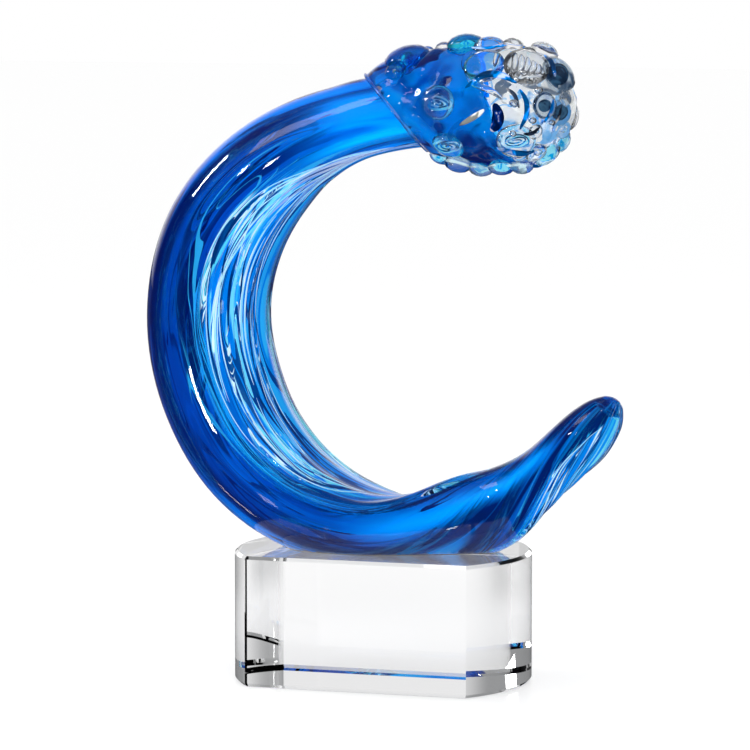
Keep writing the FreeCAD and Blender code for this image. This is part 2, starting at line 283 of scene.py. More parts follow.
# %% Sections of the horn
class Section:
    """One section across the horn."""

    def __init__(self, place):
        turn, radius, thick, deep, clear, lean, swing, twist = smooth_row(WAVE_SHARES, place)
        thickness = WAVE_THICKNESS * thick
        self.half_depth = WAVE_DEPTH * deep / 2
        self.blue_side = thickness * (1 - clear)
        self.clear_side = thickness * clear
        self.flute = FLUTE_DEPTH * thick
        around = math.radians(turn)
        outward = math.radians(turn + lean)
        out = Vector((math.cos(outward), 0, math.sin(outward)))
        side = Vector((0, 1, 0))
        twisted = Quaternion(out.cross(side), math.radians(twist))
        self.up = twisted @ out
        self.across = twisted @ (Quaternion(out, math.radians(swing)) @ side)
        middle = WAVE_CENTRE + Vector((math.cos(around), 0, math.sin(around))) * (WAVE_RADIUS * radius)
        self.seam = middle + self.up * (self.clear_side - thickness / 2)

    def point(self, share, inset=0.0, fluted=False, deep=1.0, high=1.0):
        """A point round the section: share 0 is outermost, 0.25 front, 0.5 innermost, 0.75 back."""
        angle = 2 * math.pi * share
        side = -math.copysign(abs(math.sin(angle)) ** (2 / OVAL_POWER), math.sin(angle))
        rise = math.copysign(abs(math.cos(angle)) ** (2 / OVAL_POWER), math.cos(angle))
        height = (self.blue_side if rise > 0 else self.clear_side) * high
        up = rise * (height - inset)
        if fluted and rise < 0:
            up += self.flute * -math.cos(angle) * math.sin(6 * (angle + math.pi / 2)) ** 2
        return self.seam + self.across * (side * (self.half_depth * deep - inset)) + self.up * up


print("start of the horn:", Section(0).seam)

# %% [markdown]
# Every new piece ends the same way: its faces point outwards and are shaded smooth, the edges that
# are sharp on the real piece stay sharp, and it rides on the frame. Each vertex of a loft carries its
# share round the section and some numbers more, so that the finishes can follow the form.

# %% Meshes
LAYERS = ("share", "band", "shore", "lit", "dim")


def put_in_scene(name, data):
    """An object for a mesh, a lamp or a camera, linked to the scene."""
    made = bpy.data.objects.new(name, data)
    bpy.context.scene.collection.objects.link(made)
    return made


def finish_mesh(bm, name, finish, slot, sharp=None):
    """The mesh as a smooth-shaded object that rides on the frame."""
    bmesh.ops.recalc_face_normals(bm, faces=bm.faces)
    for face in bm.faces:
        face.smooth = True
    if sharp is not None:
        for edge in bm.edges:
            if len(edge.link_faces) == 2 and edge.calc_face_angle(0) > math.radians(sharp):
                edge.smooth = False
    mesh = bpy.data.meshes.new(name)
    bm.to_mesh(mesh)
    bm.free()
    mesh.materials.append(finish.material)
    piece = put_in_scene(name, mesh)
    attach(piece, "root")
    print(name, len(mesh.polygons), "faces")
    return piece


def new_mesh():
    """An empty mesh whose vertices carry the layers' numbers and a flow."""
    bm = bmesh.new()
    for name in LAYERS:
        bm.verts.layers.float.new(name)
    bm.verts.layers.float_vector.new("flow")
    return bm


print("layers of a mesh:", LAYERS)

# %% [markdown]
# On the real horn the blue and the streaked glass meet in a shore that wanders: it runs low under the
# neck, climbs over the inner edge at the foot and comes back round the tail. A painted map would have
# to be stretched over the form. Here each row of the horn gets the shares where the shore lies, and a
# number above 0 says streaked, below 0 blue. Lit marks a painted azure gleam, dim the painted shade.

# %% Shore, light and dusk
# shares of the shore on the front and on the back, and of the gleam, one row for each row of the horn
SHORES = [
    (0.45, 0.34, 0.20),
    (0.395, 0.31, 0.20),
    (0.325, 0.28, 0.20),
    (0.27, 0.26, 0.20),
    (0.265, 0.27, 0.20),
    (0.285, 0.28, 0.20),
    (0.29, 0.28, 0.20),
    (0.305, 0.28, 0.20),
    (0.345, 0.27, 0.20),
    (0.44, 0.26, 0.19),
    (0.44, 0.25, 0.17),
    (0.38, 0.24, 0.11),
    (0.33, 0.23, -0.02),
    (0.28, 0.26, -0.10),
    (0.27, 0.34, -0.12),
    (0.27, 0.42, -0.14),
]


def shore(place, share):
    """How far inside the streaked side a point lies, as a share; below 0 it is on the blue side."""
    front, back, gleam = smooth_row(SHORES, min(place, len(SHORES) - 1))
    return min(share - front, 1 - back - share)


def ramp(low, high, value):
    """0 at low and 1 at high, with a smooth step between. With low above high it falls."""
    part = min(max((value - low) / (high - low), 0), 1)
    return part * part * (3 - 2 * part)


def lit_at(place, share):
    """Painted light that turns the blue azure: low on the front, by the neck, along the top and under the
    belly.
    """
    middle = smooth_row(SHORES, min(place, len(SHORES) - 1))[2]
    away = (share - middle + 0.5) % 1 - 0.5
    gleam = ramp(8.2, 9.4, place) * ramp(13.8, 12.6, place) * math.exp(-((away / 0.06) ** 2))
    collar = ramp(2.6, 0.9, place) * ramp(0.02, 0.09, share) * ramp(0.33, 0.27, share)
    top_edge = ramp(4.2, 2.8, place) * max(ramp(0.065, 0.02, share), ramp(0.93, 0.97, share))
    under = ramp(6.2, 7.4, place) * ramp(11.0, 10.0, place)
    under *= max(ramp(0.08, 0.05, share), ramp(0.93, 0.96, share))
    return max(gleam, collar, top_edge * 0.9, under * 0.9)


def dim_at(place, share):
    """Painted shade that darkens the blue: beside the gleam, under the belly and all over the tip of the
    tail.
    """
    middle = smooth_row(SHORES, min(place, len(SHORES) - 1))[2]
    away = (middle - share) % 1
    beside = ramp(8.6, 9.6, place) * math.exp(-(((away - 0.11) / 0.045) ** 2))
    dusk = ramp(10.0, 11.0, place) * ramp(0.05, 0.09, away) * ramp(0.34, 0.26, away)
    belly = ramp(3.6, 5.2, place) * ramp(9.0, 8.0, place) * math.exp(-(((share - 0.14) / 0.05) ** 2))
    return max(beside, dusk, belly * 0.2, ramp(13.0, 14.0, place))


print("shore at the foot:", round(shore(7, 0.5), 3), "light:", lit_at(9, 0.2), "dusk:", dim_at(14, 0.5))

# %% [markdown]
# A skin is lofted by an operator: a circle is laid on the first section, and its edges are extruded
# from section to section. The extrusion copies each vertex's share, so every vertex finds its new
# place by itself. Band is 0 on the outermost line and 0.5 on the innermost, and the flow is a place
# round the horn and the way along it, for the streaks.

# %% Loft
def loft(places, shares, lay, middle):
    """A closed skin: lay(place, share) gives a point of a ring, and middle(place) the ring's middle."""
    bm = new_mesh()
    layers = [bm.verts.layers.float[name] for name in LAYERS]
    share_layer, band_layer, shore_layer, lit_layer, dim_layer = layers
    flow_layer = bm.verts.layers.float_vector["flow"]
    ring = bmesh.ops.create_circle(bm, segments=len(shares), radius=WAVE_DEPTH)["verts"]
    for vert, share in zip(ring, shares):
        vert[share_layer] = share
        vert[band_layer] = abs((share + 0.5) % 1 - 0.5)
    edges = list(bm.edges)
    length = 0.0
    before = middle(places[0])
    for number, place in enumerate(places):
        if number:
            made = bmesh.ops.extrude_edge_only(bm, edges=edges)["geom"]
            ring = [part for part in made if isinstance(part, bmesh.types.BMVert)]
            edges = [part for part in made if isinstance(part, bmesh.types.BMEdge)]
        length += (middle(place) - before).length
        before = middle(place)
        for vert in ring:
            vert.co = lay(place, vert[share_layer])
            angle = 2 * math.pi * vert[share_layer]
            vert[flow_layer] = (math.cos(angle), math.sin(angle), length * 10)
            vert[shore_layer] = shore(place, vert[share_layer])
            vert[lit_layer] = lit_at(place, vert[share_layer])
            vert[dim_layer] = dim_at(place, vert[share_layer])
    bmesh.ops.holes_fill(bm, edges=bm.edges, sides=0)
    return bm


def seam_at(place):
    """The middle of the seam between the two gathers, at a place along the horn."""
    return Section(place).seam


def horn_skin(places, shares, **shape):
    """A skin through the sections of the horn."""
    return loft(places, shares, lambda place, share: Section(place).point(share, **shape), seam_at)


def evenly(first, last, count):
    """Places from the first to the last in this many equal steps."""
    return [first + (last - first) * k / count for k in range(count + 1)]


print("places:", evenly(0, 1, 4))

# %% [markdown]
# Threads, coils and ribbons are rods that were drawn out hot, so they taper. A ring is extruded along
# the rod's path and turned with it, and both ends are closed.

# %% Drawn rods
def drawn_rod(bm, path, radii, sides=8, flat=1.0, up=None):
    """A rod along a path, with a radius at each point, flattened along up where that is given."""
    share_layer = bm.verts.layers.float["share"]
    flow_layer = bm.verts.layers.float_vector["flow"]
    ring = bmesh.ops.create_circle(bm, segments=sides, radius=MM)["verts"]
    for number, vert in enumerate(ring):
        vert[share_layer] = number / sides
    edges = list({edge for vert in ring for edge in vert.link_edges})
    ends = list(edges)
    normal = up[0] if up else (path[1] - path[0]).orthogonal()
    length = 0.0
    for number, (point, radius) in enumerate(zip(path, radii)):
        ahead = path[min(number + 1, len(path) - 1)] - path[max(number - 1, 0)]
        ahead.normalize()
        if up:
            normal = up[number]
        normal = (normal - ahead * normal.dot(ahead)).normalized()
        if number:
            made = bmesh.ops.extrude_edge_only(bm, edges=edges)["geom"]
            ring = [part for part in made if isinstance(part, bmesh.types.BMVert)]
            edges = [part for part in made if isinstance(part, bmesh.types.BMEdge)]
            length += (point - path[number - 1]).length
        beside = ahead.cross(normal)
        for vert in ring:
            angle = 2 * math.pi * vert[share_layer]
            vert.co = point + (normal * (math.cos(angle) * flat) + beside * math.sin(angle)) * radius
            vert[flow_layer] = (math.cos(angle), math.sin(angle), length * 100)
    bmesh.ops.holes_fill(bm, edges=ends + edges, sides=0)


def tapered(radius, count, sharpness=0.6):
    """Radii that start and end thin."""
    radii = []
    for k in range(count):
        swell = math.sin(math.pi * (k + 0.3) / (count - 0.4)) ** sharpness
        radii.append(radius * max(swell, 0.06))
    return radii


print("a tapered rod:", [round(radius, 2) for radius in tapered(1.0, 5)])

# %% [markdown]
# The outer layer of the horn is clear glass over everything. It only bends the light, and its slow
# waves come from the tools that shaped it. Its inner side keeps the flutes of the CAD frame. The wheel
# then cuts its underside flat, as on the real foot.

# %% Clear casing
casing_glass = clear_glass("casing_glass", 1.48).melted(30.0, 0.0004)
FOOT = 50.2 * MM


def cut_off(bm, place, way):
    """Cuts off what lies beyond a plane through the place."""
    everything = list(bm.verts) + list(bm.edges) + list(bm.faces)
    bmesh.ops.bisect_plane(bm, geom=everything, plane_co=place, plane_no=way, clear_outer=True)


ROUND = [k / 96 for k in range(96)]
horn = horn_skin(evenly(-0.12, LAST_ROW, LAST_ROW * 9), ROUND, fluted=True)
cut_off(horn, (0, 0, FOOT), (0, 0, -1))
bmesh.ops.holes_fill(horn, edges=[edge for edge in horn.edges if edge.is_boundary], sides=0)
casing = finish_mesh(horn, "wave_casing", casing_glass, "streaked_glass", 50)
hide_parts("blue_wave_body", "clear_rib_gather")

# %% [markdown]
# Strokes of colour lie along the flow. A noise that is stretched along the flow attribute and cut off
# sharply gives strokes with clean edges, as brushed and torn colour has in glass.

# %% Strokes
def flow(tree, across, along, shift=0.0):
    """The flow attribute: cells for each 20 mm or so across the flow, and for 100 mm along it."""
    place = tree.add("Attribute", {"attribute_name": "flow"}, output="Vector")
    settings = {"Vector": place, "Scale": (across, across, along), "Location": (shift, shift, 0.0)}
    return tree.add("Mapping", None, settings)


def wandering(tree, across, along, shift, amount):
    """The flow as one number. Its lines slant round the horn and sway, so they part and meet again."""
    sway = tree.noise(flow(tree, 2.6, 1.1, shift + 11), 1.0, 0.0)
    vectors = {0: flow(tree, across, along, shift), 1: (1 / 3, 1 / 3, 1 / 3)}
    slant = tree.add("VectorMath", {"operation": "DOT_PRODUCT"}, vectors, output="Value")
    return slant + (sway - 0.5) * (amount * across)


AZURE = colour(0.0, 0.36, 1.0)
ROYAL = colour(0.0, 0.16, 0.64)
NAVY = colour(0.0, 0.022, 0.16)
SKY = colour(0.03, 0.52, 1.0)
print("blues:", AZURE, ROYAL, NAVY, SKY)

# %% [markdown]
# The colour has two layers. A heart lies deep, so that the clear glass magnifies it almost to the edge
# and leaves an azure rim. A tinted body lies over its blue side and a skin of fine threads over its
# clear side. The layers slide over each other as the eye moves, and that gives the depth.

# %% Heart of the horn
HEART_END = LAST_ROW - 2.7
heart_colour = inner_layer("heart_colour", 1.0)
tree = heart_colour.tree
band = tree.value("band")
clouds = tree.noise(flow(tree, 2.2, 1.3), 3.0, 0.5)
strokes = tree.noise(wandering(tree, 10.0, 2.8, 3.1, 0.4), 4.0, 0.9)
lines = tree.noise(flow(tree, 3.2, 1.8, 7.7), 3.0, 1.8)
lit = tree.value("lit")
dim = tree.value("dim")
blue = tree.blend(clouds.step(0.49, 0.62), ROYAL, AZURE)
# lit paints light into the heart's blue as azure, and dim paints shade into it as navy
blue = tree.blend(lit * clouds.step(0.30, 0.45), blue, colour(0.0, 0.42, 1.0))
blue = tree.blend(strokes.step(0.56, 0.60) * (1 - lit) * 0.8, blue, NAVY)
blue = tree.blend(lines.step(0.63, 0.65).atleast((dim * 1.3) * strokes.step(0.36, 0.52)), blue, NAVY)
# painted shade: a navy line along the outer edge, where refraction darkens the real glass
painted_edge_shade = band.step(0.13, 0.09) * band.step(0.02, 0.045) * (1 - lit) * 0.9
blue = tree.blend(painted_edge_shade, blue, NAVY)
leaves = tree.noise(wandering(tree, 7.0, 1.9, 1.2, 0.7), 2.0, 0.6)
bands = tree.noise(wandering(tree, 4.5, 1.0, 4.0, 0.5), 2.0, 0.3)
milk = tree.noise(wandering(tree, 7.5, 1.4, 9.0, 0.7), 2.0, 0.5)
bright = tree.blend(bands.step(0.44, 0.56), colour(0.0, 0.24, 0.80), SKY)
bright = tree.blend(milk.step(0.54, 0.60), bright, colour(0.20, 0.82, 1.0))
bright = tree.blend(leaves.step(0.54, 0.57), bright, colour(0.0, 0.06, 0.28))
streaked = (tree.value("shore") + (strokes - 0.5) * 0.16).step(0.0, 0.012)
tint = tree.blend(streaked, blue, bright)
heart_colour.feed("Base Color", tint)
# painted light: the heart glows, more on the streaked side and most where lit marks the gleam
heart_colour.feed("Emission Color", tree.blend(lit * 0.50 + streaked * 0.18 + 0.27, BLACK, tint))


def heart_point(place, share):
    outer = share < 0.25 or share > 0.75
    return Section(place).point(share, deep=0.64, high=0.66 if outer else 0.58)


heart = loft(evenly(-0.1, HEART_END, 150), ROUND, heart_point, seam_at)
finish_mesh(heart, "horn_heart", heart_colour, "cobalt_glass", 60)

# %% [markdown]
# The skin over the heart carries what the eye can follow: torn strokes of navy and azure on the blue
# side, and fine threads of white, cyan and navy on the other. It could be hundreds of rods. Noise that
# follows the flow gives the finest ones at no cost, and Alpha lets the heart show between them.

# %% Strokes and threads
def blue_strokes(tree, shore_line, fine):
    """The colour of the blue side, and how much of the heart it covers."""
    broad = tree.noise(flow(tree, 4.2, 1.9, 2.3), 3.0, 0.9)
    mottle = tree.noise(flow(tree, 24.0, 8.0, 6.6), 4.0, 0.8)
    patches = tree.noise(flow(tree, 1.5, 1.4, 5.0), 2.0, 0.4)
    torn = tree.noise(wandering(tree, 19.0, 6.0, 4.4, 0.3), 4.0, 1.0)
    dark = fine.step(0.57, 0.60).atleast(broad.step(0.595, 0.62)).atleast(mottle.step(0.56, 0.62) * 0.6)
    light = fine.step(0.41, 0.37).atleast(mottle.step(0.41, 0.36) * 0.7)
    flecks = (torn + shore_line * 1.7).step(0.525, 0.555)
    cover = (dark * 0.85).atleast(light * 0.55) * patches.step(0.42, 0.56) * (1 - tree.value("lit") * 0.9)
    return tree.blend(flecks, tree.blend(dark, AZURE, NAVY), SKY), cover.atleast(flecks * 0.85)


def bright_threads(tree):
    """The colour of the streaked side, and how much of the heart it covers."""
    thin = tree.noise(wandering(tree, 9.0, 1.3, 0.0, 0.9), 2.0, 0.4)
    wide = tree.noise(wandering(tree, 6.0, 1.6, 6.0, 0.8), 2.0, 0.5)
    gaps = tree.noise(wandering(tree, 7.5, 1.9, 8.0, 0.8), 2.0, 0.6)
    white = (1 - abs(thin - 0.5) * 24).step(0.2, 0.7) * wide.step(0.47, 0.54)
    cyan = wide.step(0.54, 0.59)
    navy = gaps.step(0.56, 0.585)
    bright = tree.blend(cyan, SKY, colour(0.12, 0.82, 1.0))
    bright = tree.blend(navy, bright, colour(0.0, 0.055, 0.26))
    bright = tree.blend(white, bright, colour(0.70, 0.94, 1.0))
    return bright, white.atleast(navy * 0.92).atleast(cyan * 0.7)


def stroke_skin(name, soak):
    """The skin over the heart: strokes on the blue side of the shore and threads on the other."""
    finish = inner_layer(name, 1.0, soak)
    tree = finish.tree
    shore_line = tree.value("shore")
    fine = tree.noise(wandering(tree, 15.0, 3.2, 0.0, 0.4), 4.0, 0.5)
    blue, blue_cover = blue_strokes(tree, shore_line, fine)
    bright, bright_cover = bright_threads(tree)
    across = (shore_line + (fine - 0.5) * 0.12).step(0.0, 0.01)
    tint = tree.blend(across, blue, bright)
    finish.feed("Base Color", tint)
    # painted light: the skin glows, more on the streaked side
    finish.feed("Emission Color", tree.blend(across * 0.28 + 0.27, BLACK, tint))
    rim = tree.value("band").step(0.49, 0.44)
    outer = tree.value("band").step(0.03, 0.06)
    finish.feed("Alpha", blue_cover * (1 - across) * outer + bright_cover * across * rim)
    return finish


# %% [markdown]
# The blue gather lies over the outer half of the heart, just under the clear casing. Its glass soaks
# up red and green, so it is darkest where the eye looks through most of it. It is lofted through the
# same sections as the casing, a millimetre further in, and kept off the ground foot.

# %% Blue body
FRONT_HALF = [k / 64 % 1 for k in range(-16, 17)]
SKIN_END = LAST_ROW - 1.7
blue_body = stroke_skin("blue_body", COBALT_SOAK)
skin = horn_skin(evenly(-0.1, SKIN_END, 160), FRONT_HALF, inset=1.0 * MM)
for vert in skin.verts:
    vert.co.z = max(vert.co.z, FOOT + 0.6 * MM)
body = finish_mesh(skin, "blue_wave_core", blue_body, "cobalt_glass", 40)
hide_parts("blue_wave_body")

# %% [markdown]
# The clear gather is the same skin on the inner half, without the cobalt, so the threads keep their
# white and cyan. It lies a little deeper, under the flutes.

# %% Thread skin
INNER_HALF = [k / 80 for k in range(20, 61)]
thread_skin = stroke_skin("thread_skin", None)
skin = horn_skin(evenly(-0.1, SKIN_END, 170), INNER_HALF, inset=1.5 * MM)
inner = finish_mesh(skin, "streaked_rib_core", thread_skin, "streaked_glass", 40)
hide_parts("clear_rib_gather")

# %% [markdown]
# Rods of colour are drawn from a gather that was streaked first, so a second colour runs along each of
# them in veins. Noise along the flow gives the veins, which a plain colour would lack. The same few
# lines do for the white, the dark and the lavender glass.

# %% Colour that was drawn out
def drawn_colour(name, glow, first, second, high, along):
    """Coloured glass with veins of a second colour along the flow."""
    finish = inner_layer(name, glow)
    veins = finish.tree.noise(flow(finish.tree, *along), 2.0, 0.3)
    finish.paint(finish.tree.blend(veins.step(0.40, high), colour(*first), colour(*second)))
    return finish


milk_glass = drawn_colour("milk_glass", 0.48, (0.80, 0.92, 1.0), (0.25, 0.74, 1.0), 0.56, (1.0, 0.6))
leaf_navy = drawn_colour("leaf_navy", 0.15, (0.0, 0.045, 0.22), (0.0, 0.10, 0.42), 0.60, (1.4, 0.8))
lavender = drawn_colour("lavender_glass", 0.30, (0.62, 0.74, 1.0), (0.22, 0.45, 0.92), 0.60, (1.4, 0.5))
print("drawn colours:", [finish.material.name for finish in (milk_glass, leaf_navy, lavender)])

# %% [markdown]
# The boldest threads are rods of white glass, laid on the hot gather and drawn out with it. They start
# together under the neck, fan out where the horn is thickest, cross at small angles and gather again
# towards the tail. Each one is a tapered rod just under the surface.

# %% White canes
drawn = random.Random(11)
WIDTHS = (0.22, 0.42, 0.28, 0.60, 0.24, 0.34)
GOLDEN_STEP = 0.618
INNER_LINE = 0.485


def cane(bm, first, last, share_at, radius, flat=0.6):
    """A rod under the surface of the horn: share_at gives its share at each place."""
    count = max(int((last - first) * 8), 8)
    path = []
    lifts = []
    for place in evenly(first, last, count):
        section = Section(place)
        share = share_at(place)
        point = section.point(share, inset=0.9 * MM, fluted=True)
        path.append(point)
        lifts.append((point - section.point(share, deep=0.4, high=0.4)).normalized())
    drawn_rod(bm, path, tapered(radius, count + 1), 8, flat, lifts)


def between(first, last, early, late, front=True):
    """Shares that run from one part of the way across the streaked side to another, as a place goes on."""

    def share_at(place):
        front_shore, back_shore, _ = smooth_row(SHORES, min(place, len(SHORES) - 1))
        along = min(max((place - first) / (last - first), 0), 1)
        part = early + (late - early) * along
        if front:
            return front_shore + (INNER_LINE - front_shore) * part
        return 1 - back_shore + (back_shore - INNER_LINE) * part

    return share_at


def scatter_canes(bm, count, first_range, length_range, end, swing, size, flat=0.6, front=True):
    """Canes at even parts of the way across, which lean to one side or the other and so cross."""
    for number in range(count):
        early = (number * GOLDEN_STEP + 0.05) % 1
        late = min(max(early + drawn.uniform(-swing, swing), 0.02), 0.97)
        first = drawn.uniform(*first_range)
        last = min(first + drawn.uniform(*length_range), end)
        radius = WIDTHS[number % len(WIDTHS)] * size * MM
        cane(bm, first, last, between(first, last, early, late, front), radius, flat)


bm = new_mesh()
scatter_canes(bm, 26, (0.0, 7.0), (1.4, 3.4), 10.4, 0.30, 0.95)
scatter_canes(bm, 7, (0.0, 0.4), (2.6, 4.2), 10.4, 0.10, 0.80)
scatter_canes(bm, 20, (0.0, 12.0), (1.6, 3.6), HEART_END, 0.30, 0.60, front=False)
finish_mesh(bm, "white_canes", milk_glass, "streaked_glass")

# %% [markdown]
# Between the bright threads lie dark leaves, where the cobalt shows through gaps in them. They are
# the same rods, short, wide and flat, so they are laid by the same helper.

# %% Dark leaves
bm = new_mesh()
scatter_canes(bm, 24, (1.2, 8.4), (0.7, 1.7), 10.0, 0.12, 1.7, 0.35)
scatter_canes(bm, 14, (2.0, 13.0), (0.8, 1.7), HEART_END, 0.12, 1.5, 0.35, front=False)
finish_mesh(bm, "dark_leaves", leaf_navy, "streaked_glass")

# %% [markdown]
# Under the neck the threads run together in pale lavender bands. Five long canes side by side make
# them, each a little further across than the one before.

# %% Lavender bands
bm = new_mesh()
for number in range(5):
    part = 0.30 + 0.14 * number
    last = 2.4 + 0.4 * (number % 3)
    share_at = between(0.0, last, part, part - 0.06)
    cane(bm, 0.1 * (number % 4), last, share_at, (1.0 - 0.1 * (number % 3)) * MM, 0.3)
finish_mesh(bm, "lavender_bands", lavender, "streaked_glass")

# %% [markdown]
# The crystal block is cut, not blown, so it has flat faces, sharp upright corners and a narrow chamfer.
# A disc is cut by two planes, pulled up and bevelled, which is how the blank is sawn and ground.

# %% Crystal block
BLOCK_RADIUS = 57 * MM
BLOCK_FLAT = 36.5 * MM
BLOCK_HEIGHT = 50 * MM

crystal = clear_glass("optical_crystal", 1.52)
bm = bmesh.new()
bmesh.ops.create_circle(bm, cap_ends=True, segments=360, radius=BLOCK_RADIUS)
for way in (-1, 1):
    cut_off(bm, (0, way * BLOCK_FLAT, 0), (0, way, 0))
raised = bmesh.ops.extrude_face_region(bm, geom=list(bm.faces))["geom"]
top = [part for part in raised if isinstance(part, bmesh.types.BMVert)]
bmesh.ops.translate(bm, verts=top, vec=(0, 0, BLOCK_HEIGHT))
bmesh.ops.recalc_face_normals(bm, faces=bm.faces)
rims = [edge for edge in bm.edges if abs(edge.verts[0].co.z - edge.verts[1].co.z) < MM]
bmesh.ops.bevel(bm, geom=rims, offset=1.2 * MM, segments=1, profile=0.5, affect="EDGES", material=-1)
block = finish_mesh(bm, "crystal_block", crystal, "optical_crystal", 12)
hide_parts("crystal_base")

# %% [markdown]
# The film that holds the foot on the block is hardly seen, so its CAD node stays as it is. It only
# gets the finish of cured clear adhesive, a little bluer than the block.

# %% Adhesive film
film_glass = clear_glass("clear_adhesive", 1.48, tint=colour(0.95, 0.98, 1.0))
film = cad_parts["bond_film"]
film.data.materials.clear()
film.data.materials.append(film_glass.material)
print("film:", film.name, "of", film_glass.material.name)

# %% [markdown]
# The crest is a row of ovals from the neck to the front. One clear skin covers all of it, so there is
# no seam between the hood and the foam. The blue of the hood is a body inside, which ends in tongues,
# and the foam is what lies in front of it.

# %% Ovals of the crest
HOOD_LIP = 1.4 * MM
HOOD_LENGTH = 43 * MM
HOOD_HEIGHT = 50 * MM
HOOD_DEPTH = 50 * MM
FOAM_LENGTH = 26 * MM
UP = Vector((0, 0, 1))
HOOD_SHARES = [
    # shares of the way, rise, height and depth, and the lean and swing in degrees
    (0.13, 0.034, 0.80, 0.86, 28, 13),
    (0.38, 0.026, 0.90, 0.94, 23, 10),
    (0.68, 0.046, 0.95, 0.99, 20, 7),
    (1.00, 0.060, 0.96, 1.00, 20, 4),
]
FOAM_SHARES = [
    (0.32, 0.078, 0.90, 0.95, 13, 2),
    (0.64, 0.092, 0.75, 0.80, 7, 0),
    (0.86, 0.100, 0.52, 0.56, 3, 0),
    (0.97, 0.110, 0.30, 0.32, 0, 0),
    (1.00, 0.112, 0.14, 0.15, 0, 0),
]
neck = Section(0)
NECK = neck.seam + neck.up * (neck.blue_side - neck.clear_side) / 2


def crest_ovals(shares, start, length):
    """The ovals in metres and degrees, from shares of the crest's sizes."""
    ovals = []
    for way, rise, height, depth, lean, swing in shares:
        x = start + length * way
        z = NECK.z + HOOD_HEIGHT * rise
        ovals.append((x, z, HOOD_HEIGHT / 2 * height, HOOD_DEPTH / 2 * depth, lean, swing))
    return ovals


neck_height = (neck.blue_side + neck.clear_side) / 2 + HOOD_LIP
neck_lean = math.degrees(math.atan2(-neck.up.x, neck.up.z))
neck_oval = (NECK.x, NECK.z, neck_height, neck.half_depth + HOOD_LIP, neck_lean, WAVE_SHARES[0][-2])
HOOD_OVALS = (neck_oval, *crest_ovals(HOOD_SHARES, NECK.x, HOOD_LENGTH))
FOAM_OVALS = (HOOD_OVALS[-1], *crest_ovals(FOAM_SHARES, NECK.x + HOOD_LENGTH, FOAM_LENGTH))
CREST_OVALS = HOOD_OVALS + FOAM_OVALS[1:]
FOAM_START = len(HOOD_OVALS) - 1
CREST_END = len(CREST_OVALS) - 1
print("neck:", NECK, "ovals:", len(CREST_OVALS), "foam from place", FOAM_START)

# %% [markdown]
# What sits on the crest needs a point of the skin and the way into it there. Both are worked out
# from the ovals, so a drop, a ribbon or a lamp is placed by two numbers: how far along the crest, and
# how many degrees round it. Ray casts onto the finished mesh would do too, but more slowly.

# %% Points of the crest
@functools.lru_cache(maxsize=None)
def crest_oval(ovals, place):
    """Middle, half height, half depth and the two directions of the oval at a place."""
    x, z, half_height, half_depth, lean, swing = smooth_row(ovals, place)
    up = Quaternion((0, -1, 0), math.radians(lean)) @ UP
    across = Quaternion(up, math.radians(swing)) @ Vector((0, 1, 0))
    return Vector((x, 0, z)), half_height, half_depth, up, across


def crest_point(ovals, place, around, inset=0.0, size=1.0):
    """A point on the row of ovals: around is 0 at the top, 90 at the front and 180 below, in degrees."""
    middle, half_height, half_depth, up, across = crest_oval(ovals, place)
    angle = math.radians(around)
    rise = up * ((half_height * size - inset) * math.cos(angle))
    return middle + rise - across * ((half_depth * size - inset) * math.sin(angle))


def crest_inward(ovals, place, around):
    """The way that points from the skin straight into the glass."""
    last = len(ovals) - 1
    ahead = crest_point(ovals, min(place + 0.02, last), around)
    along = ahead - crest_point(ovals, max(place - 0.02, 0), around)
    round_it = crest_point(ovals, place, around + 1) - crest_point(ovals, place, around - 1)
    return along.cross(round_it).normalized()


def on_crest(place, around, depth=0.0):
    """A point under the crest's skin, or over it where the depth is below 0."""
    return crest_point(CREST_OVALS, place, around) + crest_inward(CREST_OVALS, place, around) * depth


print("highest point of the foam:", on_crest(FOAM_START, 0))

# %% [markdown]
# Soft hollows and swellings are what tells worked glass from turned glass. Each is a place on the crest
# with a width and a depth, and it moves the skin near it straight in or out.

# %% Hollows and swellings
SWELLS = [
    # place, degrees round, width and depth: a hollow above 0 and a swelling below 0
    (2.35, 86, 6.5, -2.2),
    (1.75, 126, 5.5, -1.6),
    (2.95, 122, 6.0, -1.2),
    (3.05, 60, 8.0, -1.1),
    (1.2, 60, 8.0, 0.8),
    (1.75, 64, 4.0, 1.9),
    (2.5, 66, 4.0, 2.1),
    (2.9, 88, 3.5, 1.0),
    (1.1, 96, 4.5, -1.1),
    (2.0, 148, 4.0, 1.1),
    (2.6, 140, 4.0, -0.9),
    (3.3, 140, 4.0, 1.0),
    (1.3, 20, 4.5, 1.0),
    (2.2, 45, 5.0, -0.9),
    (2.5, 30, 7.0, -0.9),
    (1.5, 350, 7.0, -0.8),
    (3.45, 98, 8.0, 4.6),
    (2.8, 300, 8.0, -1.2),
    (1.8, 250, 8.0, -1.2),
    (3.0, 215, 7.0, -1.0),
    (5.2, 78, 4.0, -1.0),
    (5.8, 100, 4.0, -0.9),
    (6.3, 60, 4.0, -0.8),
    (6.2, 130, 4.0, -0.9),
    (5.0, 104, 3.5, 0.7),
]


def nearness(point, place, around, width):
    """1 at a place of the crest, and less the more millimetres a point is away."""
    reach = (point - crest_point(CREST_OVALS, place, around)).length / (width * MM)
    return math.exp(-(reach**2))


def worked(point, place):
    """Uneven lumps that the tools leave, from the neck on."""
    lumps = noise.noise(point * 105) * 1.5 * MM + noise.noise(point * 210) * 0.6 * MM
    return lumps * ramp(0.3, 1.2, place) * ramp(CREST_END, CREST_END - 0.6, place)


def crest_middle(place):
    """The middle of the oval at a place."""
    return crest_point(CREST_OVALS, place, 0, 0, 0)


